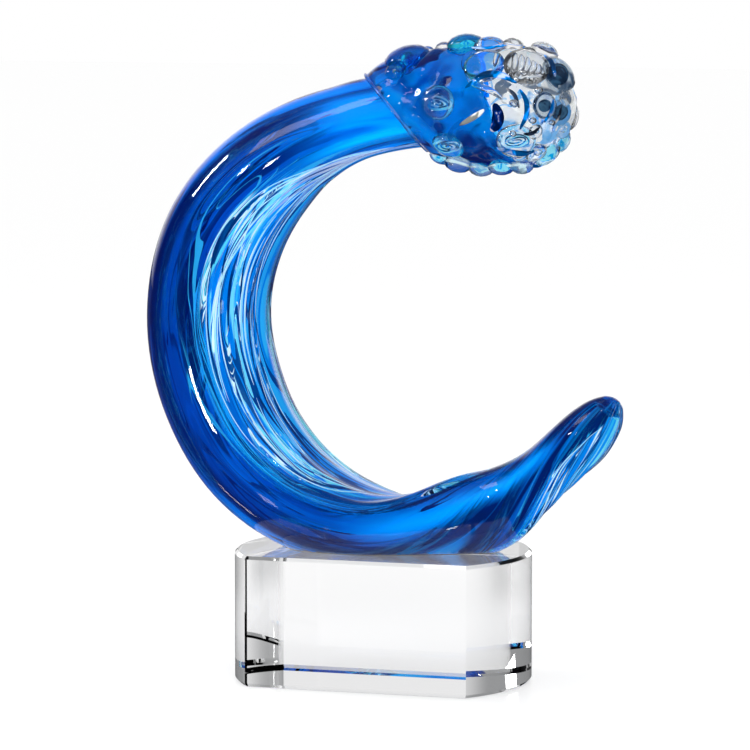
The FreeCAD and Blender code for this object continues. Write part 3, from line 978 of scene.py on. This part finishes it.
def crest_skin(first, last, count, inset=0.0, size=1.0):
    """A closed skin through the ovals of the crest, with its hollows and swellings."""

    def lay(place, share):
        point = crest_point(CREST_OVALS, place, 360 * share, inset, size)
        sunk = 0.0
        for *where, width, depth in SWELLS:
            sunk += depth * MM * size * nearness(point, *where, width)
        sunk += worked(point, place) * size
        return point + crest_inward(CREST_OVALS, place, 360 * share) * sunk

    return loft(evenly(first, last, count), ROUND, lay, crest_middle)


print("swellings and hollows:", len(SWELLS))

# %% [markdown]
# One clear skin is drawn over the hood and the foam. On the hood it is smooth, and on the foam it is
# rippled by the tools. Two materials would show a line between them, so one number on the vertices
# says how foamy the skin is, and the ripples grow with it.

# %% Clear skin of the crest
crest_glass = clear_glass("crest_glass")
tree = crest_glass.tree
spot = tree.spot()
slow = tree.noise(spot, 1.0, 0.0, 50.0)
quick = tree.noise(spot, 1.0, 0.6, 140.0)
foamy = tree.value("foamy")
waves = slow * (1 - foamy) * 0.4 + (slow * 0.6 + quick) * foamy
crest_glass.ripple(waves, 0.0020)
bm = crest_skin(0, CREST_END, 150)
foamy_layer = bm.verts.layers.float.new("foamy")
split = crest_middle(FOAM_START).x
for vert in bm.verts:
    vert[foamy_layer] = min(max((vert.co.x - split + 4 * MM) / (8 * MM), 0), 1)
crest = finish_mesh(bm, "crest_skin", crest_glass, "clear_glass", 45)
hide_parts("crest_hood", "foam_mass", "hood_bulge")

# %% [markdown]
# The blue of the hood is a sleeve of cobalt just under the clear skin, with painted shade in it: navy
# patches where the hood lies in shade. A picture of them would have to be laid round the form. Here
# the vertices near the middle of a patch carry its dusk, and noise breaks its edge.

# %% Blue of the hood
# painted shade: navy patches where the hood lies in shade, mostly round its hollows
HOOD_SHADES = [
    # place, degrees round, width
    (2.5, 60, 4.0),
    (2.1, 108, 3.4),
    (2.8, 124, 6.0),
    (3.6, 126, 5.0),
    (1.5, 26, 4.5),
    (2.6, 262, 5.0),
    (1.6, 300, 4.5),
    (3.4, 310, 4.5),
    (2.0, 220, 4.5),
]
hood_body = inner_layer("hood_body", 0.30, COBALT_SOAK)
tree = hood_body.tree
swirls = tree.noise(tree.spot(), 2.0, 1.6, 48.0)
shade = tree.noise(tree.spot(), 2.0, 0.8, 34.0)
tint = tree.blend(shade.step(0.42, 0.62), colour(0.0, 0.28, 0.98), colour(0.0, 0.09, 0.46))
# the mask of the painted shade, its edge broken by swirls
painted_dusk = (tree.value("dusk") + swirls * 1.6 - 0.8).step(0.20, 1.05)
hood_body.paint(tree.blend(painted_dusk, tint, colour(0.0, 0.03, 0.24)))
covered = shade.step(0.48, 0.66).atleast(swirls.step(0.58, 0.66)) * 0.8
hood_body.feed("Alpha", covered.atleast(painted_dusk * 0.92))
bm = crest_skin(0.06, FOAM_START - 0.1, 60, inset=0.9 * MM)
dusk_layer = bm.verts.layers.float.new("dusk")
for vert in bm.verts:
    vert[dusk_layer] = max(nearness(vert.co, *dusk) for dusk in HOOD_SHADES)
hood = finish_mesh(bm, "blue_hood", hood_body, "hood_glass", 45)
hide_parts("crest_hood")

# %% [markdown]
# Inside the hood a smaller body shows where the sleeve lets the eye through. It is the same skin at
# 72 % of its size, clouded with azure and navy, and it keeps the thick middle from looking empty.

# %% Heart of the hood
hood_blue = inner_layer("hood_blue", 0.32)
tree = hood_blue.tree
clouds = tree.noise(tree.spot(), 2.0, 0.8, 40.0)
swirls = tree.noise(tree.spot(), 2.0, 1.8, 55.0)
tint = tree.blend(clouds.step(0.42, 0.58), colour(0.0, 0.42, 1.0), colour(0.0, 0.12, 0.52))
hood_blue.paint(tree.blend(swirls.step(0.56, 0.64), tint, NAVY))
bm = crest_skin(0.2, FOAM_START - 0.15, 50, size=0.72)
finish_mesh(bm, "hood_heart", hood_blue, "hood_glass", 45)

# %% [markdown]
# Tongues of the hood's blue run on over the clear foam, with dark shards beside them. Painted marks
# would have no thickness. Each is a flat tapered ribbon along points of the crest, a little off the
# skin.

# %% Ribbons in the foam
def ribbon(bm, stops, radius, flat=0.35, depth=-1.6):
    """A tapered ribbon through stops of (place, degrees round) on the crest."""
    count = 8 * (len(stops) - 1)
    path = []
    ways = []
    for place in evenly(0, len(stops) - 1, count):
        at_place, at_around = smooth_row(stops, place)
        path.append(on_crest(at_place, at_around, depth * MM))
        ways.append(crest_inward(CREST_OVALS, at_place, at_around))
    drawn_rod(bm, path, tapered(radius * MM, count + 1), 10, flat, ways)


BLUE_TONGUES = [
    # stops along the ribbon, and its half width in millimetres
    ([(3.4, 72), (4.1, 60), (4.8, 61), (5.35, 68)], 1.5),
    ([(5.45, 74), (5.65, 86), (5.55, 100), (5.1, 112)], 1.1),
    ([(3.6, 128), (4.2, 134), (4.8, 138), (5.4, 140)], 1.6),
    ([(3.7, 22), (4.3, 24), (4.9, 18)], 1.2),
    ([(3.6, 300), (4.4, 292), (5.2, 280), (5.8, 262)], 2.2),
    ([(3.7, 250), (4.5, 240), (5.3, 228)], 2.0),
    ([(3.7, 200), (4.5, 196), (5.4, 190)], 1.7),
    ([(3.6, 340), (4.4, 338), (5.3, 330)], 1.6),
    ([(6.2, 18), (6.6, 30), (6.9, 48)], 1.0),
    ([(6.3, 112), (6.7, 100), (6.9, 84)], 0.9),
]
DARK_SHARDS = [
    ([(4.9, 74), (5.2, 80), (5.3, 92)], 0.8),
    ([(5.2, 116), (5.6, 118), (6.0, 114)], 0.8),
    ([(6.6, 120), (7.0, 112), (7.3, 96)], 0.7),
    ([(5.0, 300), (5.6, 290), (6.1, 276)], 0.8),
    ([(5.2, 240), (5.8, 236), (6.3, 226)], 0.8),
]


def shard_finish(name, tint, glow):
    """One colour with darker and paler veins of itself."""
    finish = inner_layer(name, glow)
    tree = finish.tree
    veins = tree.noise(tree.spot(), 2.0, 1.4, 150.0)
    darker = colour(*[part * 0.25 for part in tint[:3]])
    paler = colour(*[part * 0.5 + 0.4 for part in tint[:3]])
    mixed = tree.blend(veins.step(0.44, 0.56), tint, darker)
    finish.paint(tree.blend(veins.step(0.44, 0.36), mixed, paler))
    return finish


tongue_blue = shard_finish("tongue_blue", colour(0.0, 0.20, 0.70), 0.22)
shard_grey = shard_finish("shard_grey", colour(0.02, 0.035, 0.07), 0.0)
SHARDS = [
    ("blue_tongues", BLUE_TONGUES, tongue_blue, "hood_glass", -1.4),
    ("dark_shards", DARK_SHARDS, shard_grey, "smoke_glass", -2.2),
]
for name, rows, finish, slot, depth in SHARDS:
    bm = new_mesh()
    for stops, radius in rows:
        ribbon(bm, stops, radius, depth=depth)
    finish_mesh(bm, name, finish, slot)

# %% [markdown]
# Inside the foam hangs a milky cloud with gaps in it. Real fog would need a volume, which renders slowly
# and can't be exported, so the cloud is a smaller skin inside, and Alpha opens the gaps.

# %% Milk of the foam
foam_milk = inner_layer("foam_milk", 0.62)
tree = foam_milk.tree
curls = tree.noise(tree.spot(), 2.0, 1.6, 90.0)
cells = tree.noise(tree.spot(), 2.0, 1.0, 60.0)
tint = tree.blend(curls.step(0.55, 0.61), colour(0.82, 0.83, 0.81), colour(0.12, 0.40, 0.75))
foam_milk.paint(tree.blend(cells.step(0.60, 0.66), tint, colour(0.05, 0.09, 0.15)))
foam_milk.feed("Alpha", cells.step(0.38, 0.48) * 0.9)
bm = crest_skin(FOAM_START, CREST_END - 0.1, 60, size=0.70)
finish_mesh(bm, "foam_heart", foam_milk, "clear_glass", 45)

# %% [markdown]
# The drops are listed like the nodes of the CAD frame: which node, what carries it, where it sits and
# how big it is. They could be strewn by chance. On the real piece each one has its place, so these
# are listed one by one.

# %% Drops
DROP_RADIUS = 8 * MM
DROPS = [
    # CAD node, what carries the drop, place, degrees round, half width, height
    ("blue_bubble", "hood", 1.8, 22, 1.05, 0.85),
    ("blue_bubble", "hood", 1.28, 44, 0.52, 0.45),
    ("hood_bulge", "hood", 3.45, 98, 1.25, 0.60),
    ("swirl_pad_upper", "hood", 2.4, 84, 0.80, 0.30),
    ("swirl_pad_lower", "hood", 2.1, 130, 0.75, 0.42),
    ("teal_bubble", "hood", 3.45, 4, 0.90, 0.92),
    ("coil_drop", "foam", 0.3, 10, 0.72, 0.70),
    ("clear_lobe", "foam", 0.2, 48, 0.95, 0.45),
    ("ripple_lobe", "foam", 1.7, 46, 1.05, 0.50),
    ("corner_bubble", "foam", 2.0, 354, 0.66, 0.75),
    ("smoke_bubble", "foam", 3.1, 34, 0.90, 0.80),
    ("oval_drop", "foam", 2.5, 92, 0.60, 0.42),
    ("dark_drop", "foam", 3.5, 112, 0.62, 0.60),
    ("streak_pad", "foam", 0.7, 124, 0.90, 0.35),
    ("top_drops", "hood", 2.35, 4, 0.36, 0.42),
    ("top_drops", "hood", 2.85, 2, 0.40, 0.50),
    ("top_drops", "foam", 1.0, 4, 0.48, 0.55),
    ("top_drops", "foam", 1.4, 330, 0.50, 0.45),
    ("top_drops", "foam", 1.65, 18, 0.34, 0.38),
    ("front_drops", "foam", 4.3, 70, 0.42, 0.42),
    ("front_drops", "foam", 3.3, 158, 0.42, 0.45),
    ("front_drops", "foam", 1.8, 120, 0.36, 0.30),
    ("front_drops", "foam", 3.95, 86, 0.36, 0.34),
    ("front_drops", "foam", 1.4, 148, 0.52, 0.42),
    ("under_drops", "hood", 1.35, 168, 0.48, 0.45),
    ("under_drops", "hood", 2.0, 168, 0.62, 0.60),
    ("under_drops", "hood", 2.75, 174, 0.60, 0.68),
    ("under_drops", "hood", 3.35, 168, 0.62, 0.62),
    ("under_drops", "hood", 3.95, 168, 0.52, 0.58),
    ("under_drops", "foam", 1.8, 166, 0.66, 0.56),
    ("under_drops", "foam", 2.6, 188, 0.50, 0.50),
    ("back_drops", "hood", 2.2, 300, 0.70, 0.55),
    ("back_drops", "hood", 3.3, 250, 0.85, 0.60),
    ("back_drops", "foam", 0.5, 300, 0.62, 0.55),
    ("back_drops", "foam", 1.3, 262, 0.70, 0.60),
    ("back_drops", "foam", 1.2, 218, 0.55, 0.50),
    ("back_drops", "foam", 2.4, 300, 0.60, 0.55),
    ("back_drops", "foam", 2.8, 244, 0.60, 0.52),
]
CARRIERS = {"hood": HOOD_OVALS, "foam": FOAM_OVALS}
print("drops:", len(DROPS))

# %% [markdown]
# A drop that is melted onto hot glass is a bead, widest where it meets what carries it. A squashed
# ball would be widest in the middle, so half a profile is spun round its own axis and turned square
# to the skin. As in the CAD frame the dome lies in the glass, and the lower part of the bead is seen.
# A tinted bead is deeper in colour the bigger it is.

# %% Beads
def stand_on(bm, made, foot, inward, turn_by=0.0):
    """Turns new vertices from standing on the floor to standing on the skin, with their top in the glass."""
    turn = UP.rotation_difference(inward).to_matrix().to_4x4()
    spin = Matrix.Rotation(math.radians(turn_by), 4, "Z")
    bmesh.ops.transform(bm, matrix=Matrix.Translation(foot) @ turn @ spin, verts=made)


def bead(bm, foot, inward, half_width, height):
    """One bead, spun from its profile. Its dome lies in the glass, and its lower part is seen."""
    angles = [math.radians(90 - 7.5 * k) for k in range(13)]
    profile = [(half_width * math.cos(angle), height * math.sin(angle)) for angle in angles]
    profile += [
        (half_width * 1.04, -height * 0.10),
        (half_width * 1.02, -height * 0.25),
        (half_width * 0.75, -height * 0.50),
        (half_width * 0.40, -height * 0.64),
        (0.0, -height * 0.70),
    ]
    before = set(bm.verts)
    verts = [bm.verts.new((out, 0.0, rise)) for out, rise in profile]
    edges = [bm.edges.new(pair) for pair in zip(verts, verts[1:])]
    turn = {"cent": (0, 0, 0), "axis": (0, 0, 1), "angle": 2 * math.pi, "steps": 40}
    bmesh.ops.spin(bm, geom=verts + edges, use_merge=True, **turn)
    made = [vert for vert in bm.verts if vert not in before]
    bmesh.ops.remove_doubles(bm, verts=made, dist=0.00001)
    stand_on(bm, [vert for vert in bm.verts if vert not in before], foot, inward)


clear_bead = clear_glass("clear_bead").melted(150.0, 0.0010)
blue_bead = clear_glass("blue_bead", soak=(360, 50, 10)).melted(100.0, 0.0010)
teal_bead = clear_glass("teal_bead", soak=(260, 45, 20)).melted(90.0, 0.0006)
smoke_bead = clear_glass("smoke_bead", soak=(70, 48, 32)).melted(110.0, 0.0008)
aqua_bead = clear_glass("aqua_bead", soak=(40, 9, 2)).melted(140.0, 0.0010)

BEAD_GLASS = {
    "blue_bubble": (blue_bead, "hood_glass"),
    "swirl_pad_upper": (clear_bead, "swirl_glass"),
    "swirl_pad_lower": (clear_bead, "swirl_glass"),
    "teal_bubble": (teal_bead, "teal_glass"),
    "smoke_bubble": (smoke_bead, "smoke_glass"),
    "oval_drop": (smoke_bead, "smoke_glass"),
    "dark_drop": (smoke_bead, "smoke_glass"),
    "streak_pad": (clear_bead, "swirl_glass"),
    "under_drops": (aqua_bead, "aqua_glass"),
}
seats = []
for node_name in dict.fromkeys(row[0] for row in DROPS if row[0] != "hood_bulge"):
    bm = bmesh.new()
    for name, carrier, place, around, width, height in DROPS:
        if name == node_name:
            ovals = CARRIERS[carrier]
            foot = crest_point(ovals, place, around)
            inward = crest_inward(ovals, place, around)
            seats.append((name, foot, inward, DROP_RADIUS * width, DROP_RADIUS * height))
            bead(bm, foot, inward, DROP_RADIUS * width, DROP_RADIUS * height)
    finish, slot_name = BEAD_GLASS.get(node_name, (clear_bead, "clear_glass"))
    drop = finish_mesh(bm, node_name + "_bead", finish, slot_name)
    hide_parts(node_name)

# %% [markdown]
# No two drops look alike from near by. One holds an air bubble, one a seed of aqua or smoke glass, one
# a coil. Air inside glass bends light the other way, so it is a mesh of its own with the index of glass
# turned upside down. Nine small bubbles stand off the skin of the foam.

# %% Seeds and bubbles
def seed(bm, foot, inward, wide, high, rise, aside=(0.0, 0.0)):
    """An egg of another glass inside a drop."""
    before = set(bm.verts)
    bmesh.ops.create_uvsphere(bm, u_segments=20, v_segments=12, radius=1.0)
    made = [vert for vert in bm.verts if vert not in before]
    bmesh.ops.scale(bm, verts=made, vec=(wide, wide * 0.8, high))
    bmesh.ops.translate(bm, verts=made, vec=(aside[0], aside[1], rise))
    stand_on(bm, made, foot, inward, 40)


def marbled(name, glow, first, second, high, distortion, scale):
    """A seed of one colour with swirls of another."""
    finish = inner_layer(name, glow)
    swirls = finish.tree.noise(finish.tree.spot(), 3.0, distortion, scale)
    finish.paint(finish.tree.blend(swirls.step(0.45, high), colour(*first), colour(*second)))
    return finish


aqua_seed = marbled("aqua_seed", 0.4, (0.0, 0.42, 0.85), (0.35, 0.85, 1.0), 0.55, 2.0, 260.0)
smoke_seed = marbled("smoke_seed", 0.0, (0.03, 0.07, 0.14), (0.10, 0.25, 0.42), 0.60, 1.5, 170.0)
air = clear_glass("air_bubble", 0.667)

FOAM_BUBBLES = [
    # place, degrees round, radius and height over the skin in millimetres
    (5.1, 88, 1.9, 4.5),
    (5.7, 104, 1.6, 4.0),
    (6.1, 76, 1.7, 4.0),
    (5.6, 60, 1.4, 3.5),
    (6.5, 112, 1.3, 3.5),
    (4.7, 112, 1.5, 4.0),
    (5.2, 280, 1.9, 4.5),
    (5.9, 250, 1.7, 4.0),
    (4.8, 320, 1.6, 4.0),
]
aqua = bmesh.new()
smoke = bmesh.new()
bubbles = bmesh.new()
for number, (name, foot, inward, wide, high) in enumerate(seats):
    if name == "teal_bubble" or name == "under_drops" and number % 3:
        seed(aqua, foot, inward, wide * 0.55, high * 0.35, high * 0.25)
    elif name in ("smoke_bubble", "dark_drop", "oval_drop"):
        seed(smoke, foot, inward, wide * 0.55, high * 0.40, high * 0.15)
    elif name in ("blue_bubble", "corner_bubble", "top_drops", "back_drops", "front_drops"):
        seed(bubbles, foot, inward, wide * 0.34, high * 0.30, high * 0.30, (wide * 0.15, 0))
for place, around, size, height in FOAM_BUBBLES:
    inward = crest_inward(CREST_OVALS, place, around)
    seed(bubbles, on_crest(place, around, -height * MM), inward, size * MM, size * MM, 0)
finish_mesh(aqua, "aqua_seeds", aqua_seed, "aqua_glass")
finish_mesh(smoke, "smoke_seeds", smoke_seed, "smoke_glass")
finish_mesh(bubbles, "air_bubbles", air, "clear_glass")

# %% [markdown]
# The pads are coils of white and blue rod, pressed flat and marbled with a pick. A painted spiral
# would look printed. Each pad gets two flat spirals inside its glass, the white one a little deeper
# than the blue.

# %% Coils of the pads
def spiral(bm, foot, inward, wide, tall, turns, radius, depth, turn_by, start=0.0):
    """A flat spiral of rod this far under the skin, wide along the pad and tall across it."""
    turned = UP.rotation_difference(inward)
    count = int(turns * 22)
    path = []
    for k in range(count + 1):
        angle = 2 * math.pi * turns * k / count + start
        reach = (0.14 + 0.78 * k / count) * (1 + 0.13 * math.sin(2.3 * angle + turn_by))
        flat = Vector((wide * reach * math.cos(angle), tall * reach * math.sin(angle), depth))
        flat.rotate(Quaternion((0, 0, 1), math.radians(turn_by)))
        path.append(foot + turned @ flat)
    drawn_rod(bm, path, tapered(radius, count + 1, 0.3), 8, 0.7, [inward] * (count + 1))


pads = {name: (foot, inward, wide, high) for name, foot, inward, wide, high in seats}
white_coils = new_mesh()
blue_coils = new_mesh()
for name, tall, turns, turn_by in (
    ("swirl_pad_upper", 0.48, 2.6, 5),
    ("swirl_pad_lower", 0.56, 2.7, -15),
    ("streak_pad", 0.48, 2.8, 12),
):
    foot, inward, wide, high = pads[name]
    spiral(white_coils, foot, inward, wide * 0.92, wide * tall, turns, 0.55 * MM, high * 0.30, turn_by)
    short = wide * tall * 0.9
    spiral(blue_coils, foot, inward, wide * 0.86, short, turns, 0.38 * MM, high * 0.22, turn_by, math.pi)
finish_mesh(white_coils, "white_coils", milk_glass, "swirl_glass")
coil_blue = shard_finish("coil_blue", colour(0.0, 0.35, 0.80), 0.3)
finish_mesh(blue_coils, "blue_coils", coil_blue, "swirl_glass")

# %% [markdown]
# A clear rod is wound round the coil drop from its widest part to its top, and the rippled lobe has
# ridges like the folds of a fan. Both are rods again, a little under the skin, so that their edges
# show through it.

# %% Coil and ripples
ridge_glass = clear_glass("ridge_glass")
bm = new_mesh()
foot, inward, wide, high = pads["coil_drop"]
turned = UP.rotation_difference(inward)
COIL_TURNS = 2.6
COIL_STEPS = 60
path = []
for k in range(COIL_STEPS + 1):
    angle = 2 * math.pi * COIL_TURNS * k / COIL_STEPS
    rise = high * (-0.05 + 0.85 * k / COIL_STEPS)
    reach = wide * math.sqrt(max(1 - (rise / high) ** 2, 0.05)) * 1.02
    path.append(foot + turned @ Vector((reach * math.cos(angle), reach * math.sin(angle), rise)))
drawn_rod(bm, path, tapered(1.0 * MM, COIL_STEPS + 1, 0.4), 10)
for number in range(6):
    place = 5.15 + 0.22 * number
    stops = [(place, 62 - 2 * number), (place + 0.15, 46), (place + 0.1, 28 + 2 * number)]
    ribbon(bm, stops, 1.25, 0.9, 1.6)
for stops, radius in (
    ([(3.45, 52), (3.6, 32), (3.95, 20)], 1.5),
    ([(3.5, 56), (3.65, 66), (4.2, 74), (4.6, 82)], 1.3),
    ([(4.3, 22), (4.6, 32), (4.5, 50)], 1.2),
):
    ribbon(bm, stops, radius, 0.8, 0.3)
finish_mesh(bm, "coils_and_ripples", ridge_glass, "clear_glass")

# %% [markdown]
# At the end of the hood a wedge of beige glass shows through the skin, and below it a navy ribbon is
# painted shade where a hollow curls round. Both are single ribbons, laid like the tongues, which is
# enough for them.

# %% Wedge and painted shade of a hollow
beige_milk = shard_finish("beige_milk", colour(0.74, 0.78, 0.74), 0.15)
navy_hollow_shade = shard_finish("navy_hollow_shade", colour(0.0, 0.02, 0.16), 0.1)
bm = new_mesh()
ribbon(bm, [(2.75, 108), (3.1, 103), (3.45, 97), (3.7, 92)], 1.15, flat=0.4, depth=1.3)
finish_mesh(bm, "bulge_wedge", beige_milk, "swirl_glass")
# painted shade: a navy ribbon where the hollow below the wedge lies in shade
bm = new_mesh()
ribbon(bm, [(3.7, 112), (4.0, 105), (4.2, 96), (4.2, 86)], 2.4, flat=0.5, depth=-0.4)
finish_mesh(bm, "hollow_shade_ribbon", navy_hollow_shade, "hood_glass")

# %% [markdown]
# Where the hood is pulled over the neck, its rim draws itself into a thin round lip. A rod bent into
# a ring round the first oval gives it, and it follows the neck's lean.

# %% Lip of the hood
lip_glass = clear_glass("lip_glass")
bm = new_mesh()
path = [crest_point(CREST_OVALS, 0.03, 3 * k, -0.1 * MM) for k in range(121)]
drawn_rod(bm, path, [0.7 * MM] * len(path), 10)
finish_mesh(bm, "hood_lip", lip_glass, "clear_glass")

# %% [markdown]
# The studio is plain: a pale floor that runs into a white background, with a soft shadow under the
# block. Clear glass is drawn by what it bends into view, so rays that pass through glass find white in
# front and behind and grey panels at the sides. The world stands in for the black flags round the
# camera that any photograph of glass has, so that the glass mirrors only the white behind it.

# %% Rays
AZIMUTH = math.radians(17.5)
PAPER = colour(0.86, 0.86, 0.865)


def ray_kinds(tree):
    """1 for the rays that see or light a thing, and 1 for the rays that have passed through glass."""
    ray = tree.add("LightPath")
    plain = ray.beside("Is Camera Ray").atleast(ray.beside("Is Diffuse Ray"))
    return plain, ray.beside("Is Transmission Ray")


def ahead_and_up(tree, way):
    """How far a way leads away from the camera, and how far up."""
    part = tree.add("SeparateXYZ", None, {"Vector": way})
    return part.beside("Y") * math.cos(AZIMUTH) - part.beside("X") * math.sin(AZIMUTH), part.beside("Z")


def behind_glass(tree, way):
    """What a ray that has passed through glass finds that way: white paper, with grey at the sides."""
    ahead, up = ahead_and_up(tree, way)
    sideways = abs(ahead).step(0.93, 0.74)
    overhead = up.step(0.50, 0.75) * 0.7
    return tree.blend(sideways.atleast(overhead), PAPER, colour(0.32, 0.325, 0.33))


print("the camera looks along azimuth", round(math.degrees(AZIMUTH), 1))

# %% [markdown]
# The floor is white paper with a soft shadow and a faint mirror image. A lit white sheet would be grey
# in places, so the floor also glows. Glass bends the rays that it lets through down to it, and those
# find near the block the same plain paper, and further out what stands behind it.

# %% Floor
floor_paint = bpy.data.materials.new("floor_paint")
tree = Tree(floor_paint)
plain, through = ray_kinds(tree)
seen = plain.atleast(through)
spot = tree.spot()
way = tree.add("VectorMath", {"operation": "NORMALIZE"}, {0: spot}, output="Vector")
distance = tree.add("VectorMath", {"operation": "LENGTH"}, {0: spot}, output="Value")
bent = tree.blend(distance.step(0.12, 0.25), PAPER, behind_glass(tree, way))
glowing = tree.blend(seen, BLACK, tree.blend(plain, bent, WHITE))
shine = tree.add("Emission", None, {"Color": glowing, "Strength": 1.0})
matt = tree.add("BsdfDiffuse", None, {"Color": tree.blend(seen, colour(0.06, 0.06, 0.07), WHITE)})
mirror = tree.add("BsdfGlossy", None, {"Color": WHITE, "Roughness": 0.08})
paper = tree.add("MixShader", None, {0: 0.40, 1: shine, 2: matt})
tree.end("Material", tree.add("MixShader", None, {0: 0.08, 1: paper, 2: mirror}))

FLOOR_GAP = 0.2 * MM
bm = bmesh.new()
bmesh.ops.create_grid(bm, x_segments=1, y_segments=1, size=6.0)
bmesh.ops.translate(bm, verts=bm.verts, vec=(0, 0, -FLOOR_GAP))
floor_mesh = bpy.data.meshes.new("floor")
bm.to_mesh(floor_mesh)
bm.free()
floor_mesh.materials.append(floor_paint)
floor = put_in_scene("floor", floor_mesh)
print("floor:", floor.name, len(floor_mesh.polygons), "face")

# %% [markdown]
# The world does what the white backdrop and the black flags do in a studio. Real panels would be seen
# in the glass with their edges. The way of a ray is enough to tell what it would find there: white
# behind the piece, dark for what the glass mirrors from in front, and a grey ceiling.

# %% World
world = bpy.data.worlds.new("studio")
bpy.context.scene.world = world
tree = Tree(world)
way = tree.add("TexCoord", output="Generated")
ahead, up = ahead_and_up(tree, way)
mirrored = tree.blend(up.step(0.35, 0.65), colour(0.015, 0.015, 0.02), colour(0.16, 0.17, 0.20))
mirrored = tree.blend(ahead.step(0.68, 0.97), mirrored, WHITE)
plain, through = ray_kinds(tree)
studio = tree.blend(plain, tree.blend(through, mirrored, behind_glass(tree, way)), WHITE)
tree.end("World", tree.add("Background", None, {"Color": studio, "Strength": 1.0}))
print("world nodes:", len(tree.nodes))

# %% [markdown]
# The long bright marks on the horn are two strip lamps, mirrored. A soft panel and three small lamps
# do the same for the crest. Each stands where the ray from the camera bounces to off the glass, which
# is how a photographer finds the place too. A softbox above gives the block its soft shadow.

# %% Lamps
CAMERA_PLACE = Vector((0.5226, -1.6682, 0.3006))


def lamp(name, place, target, width, height, power, rise=UP):
    """A rectangular lamp that faces the target, with its height along rise."""
    light = bpy.data.lights.new(name, "AREA")
    light.shape = "RECTANGLE"
    light.size = width
    light.size_y = height
    light.energy = power
    back = (place - target).normalized()
    side = rise.cross(back).normalized()
    holder = put_in_scene(name, light)
    holder.rotation_euler = Matrix((side, back.cross(side), back)).transposed().to_euler()
    holder.location = place
    print(name, [round(part, 2) for part in place])
    return holder


def mirrored_lamp(name, spot, normal, along, distance, width, height, power):
    """A lamp that the camera sees mirrored in the glass at this spot, with its height along the glass."""
    view = (spot - CAMERA_PLACE).normalized()
    bounce = view - 2 * view.dot(normal) * normal
    rise = along - 2 * along.dot(normal) * normal
    lamp(name, spot + bounce * distance, spot, width, height, power, rise)


def horn_lamp(name, place, share, distance, width, height, power):
    """A lamp mirrored at this place and share of the horn."""
    section = Section(place)
    spot = section.point(share)
    along = (Section(place + 0.05).point(share) - Section(place - 0.05).point(share)).normalized()
    round_it = (section.point(share + 0.01) - section.point(share - 0.01)).normalized()
    normal = along.cross(round_it)
    if normal.dot(spot - section.seam) < 0:
        normal = -normal
    mirrored_lamp(name, spot, normal, along, distance, width, height, power)


def crest_lamp(name, place, around, distance, width, height, power):
    """A lamp mirrored at this place of the crest."""
    along = (on_crest(place + 0.3, around) - on_crest(place - 0.3, around)).normalized()
    normal = crest_inward(CREST_OVALS, place, around)
    mirrored_lamp(name, on_crest(place, around), normal, along, distance, width, height, power)


horn_lamp("strip_high", 3.33, 0.14, 0.9, 0.05, 0.22, 2.2)
horn_lamp("strip_low", 6.02, 0.235, 0.25, 0.02, 0.04, 0.12)
crest_lamp("hood_panel", 2.1, 62, 0.9, 0.22, 0.34, 0.7)
for name, place, around in (("glint_left", 1.0, 74), ("glint_right", 3.3, 82), ("glint_foam", 5.6, 70)):
    crest_lamp(name, place, around, 0.5, 0.030, 0.030, 0.10)
softbox = lamp("softbox", Vector((0.35, -0.75, 0.95)), Vector((0.0, 0.0, 0.14)), 0.30, 0.30, 4.0)
softbox.visible_glossy = False

# %% [markdown]
# The camera stands far off with a long lens, as for a product photograph, so upright edges stay almost
# upright. Its place was worked out from the edges of the block.

# %% Camera
PITCH = math.radians(6.0)
camera_data = bpy.data.cameras.new("camera")
camera_data.sensor_width = 36.0
camera_data.lens = 220.8
camera = put_in_scene("camera", camera_data)
camera.location = CAMERA_PLACE
look = Vector((-math.sin(AZIMUTH) * math.cos(PITCH), math.cos(AZIMUTH) * math.cos(PITCH), -math.sin(PITCH)))
camera.rotation_euler = look.to_track_quat("-Z", "Y").to_euler()
bpy.context.scene.camera = camera
bpy.context.scene.view_settings.view_transform = "Standard"
print("camera:", camera.location, "lens:", camera_data.lens)
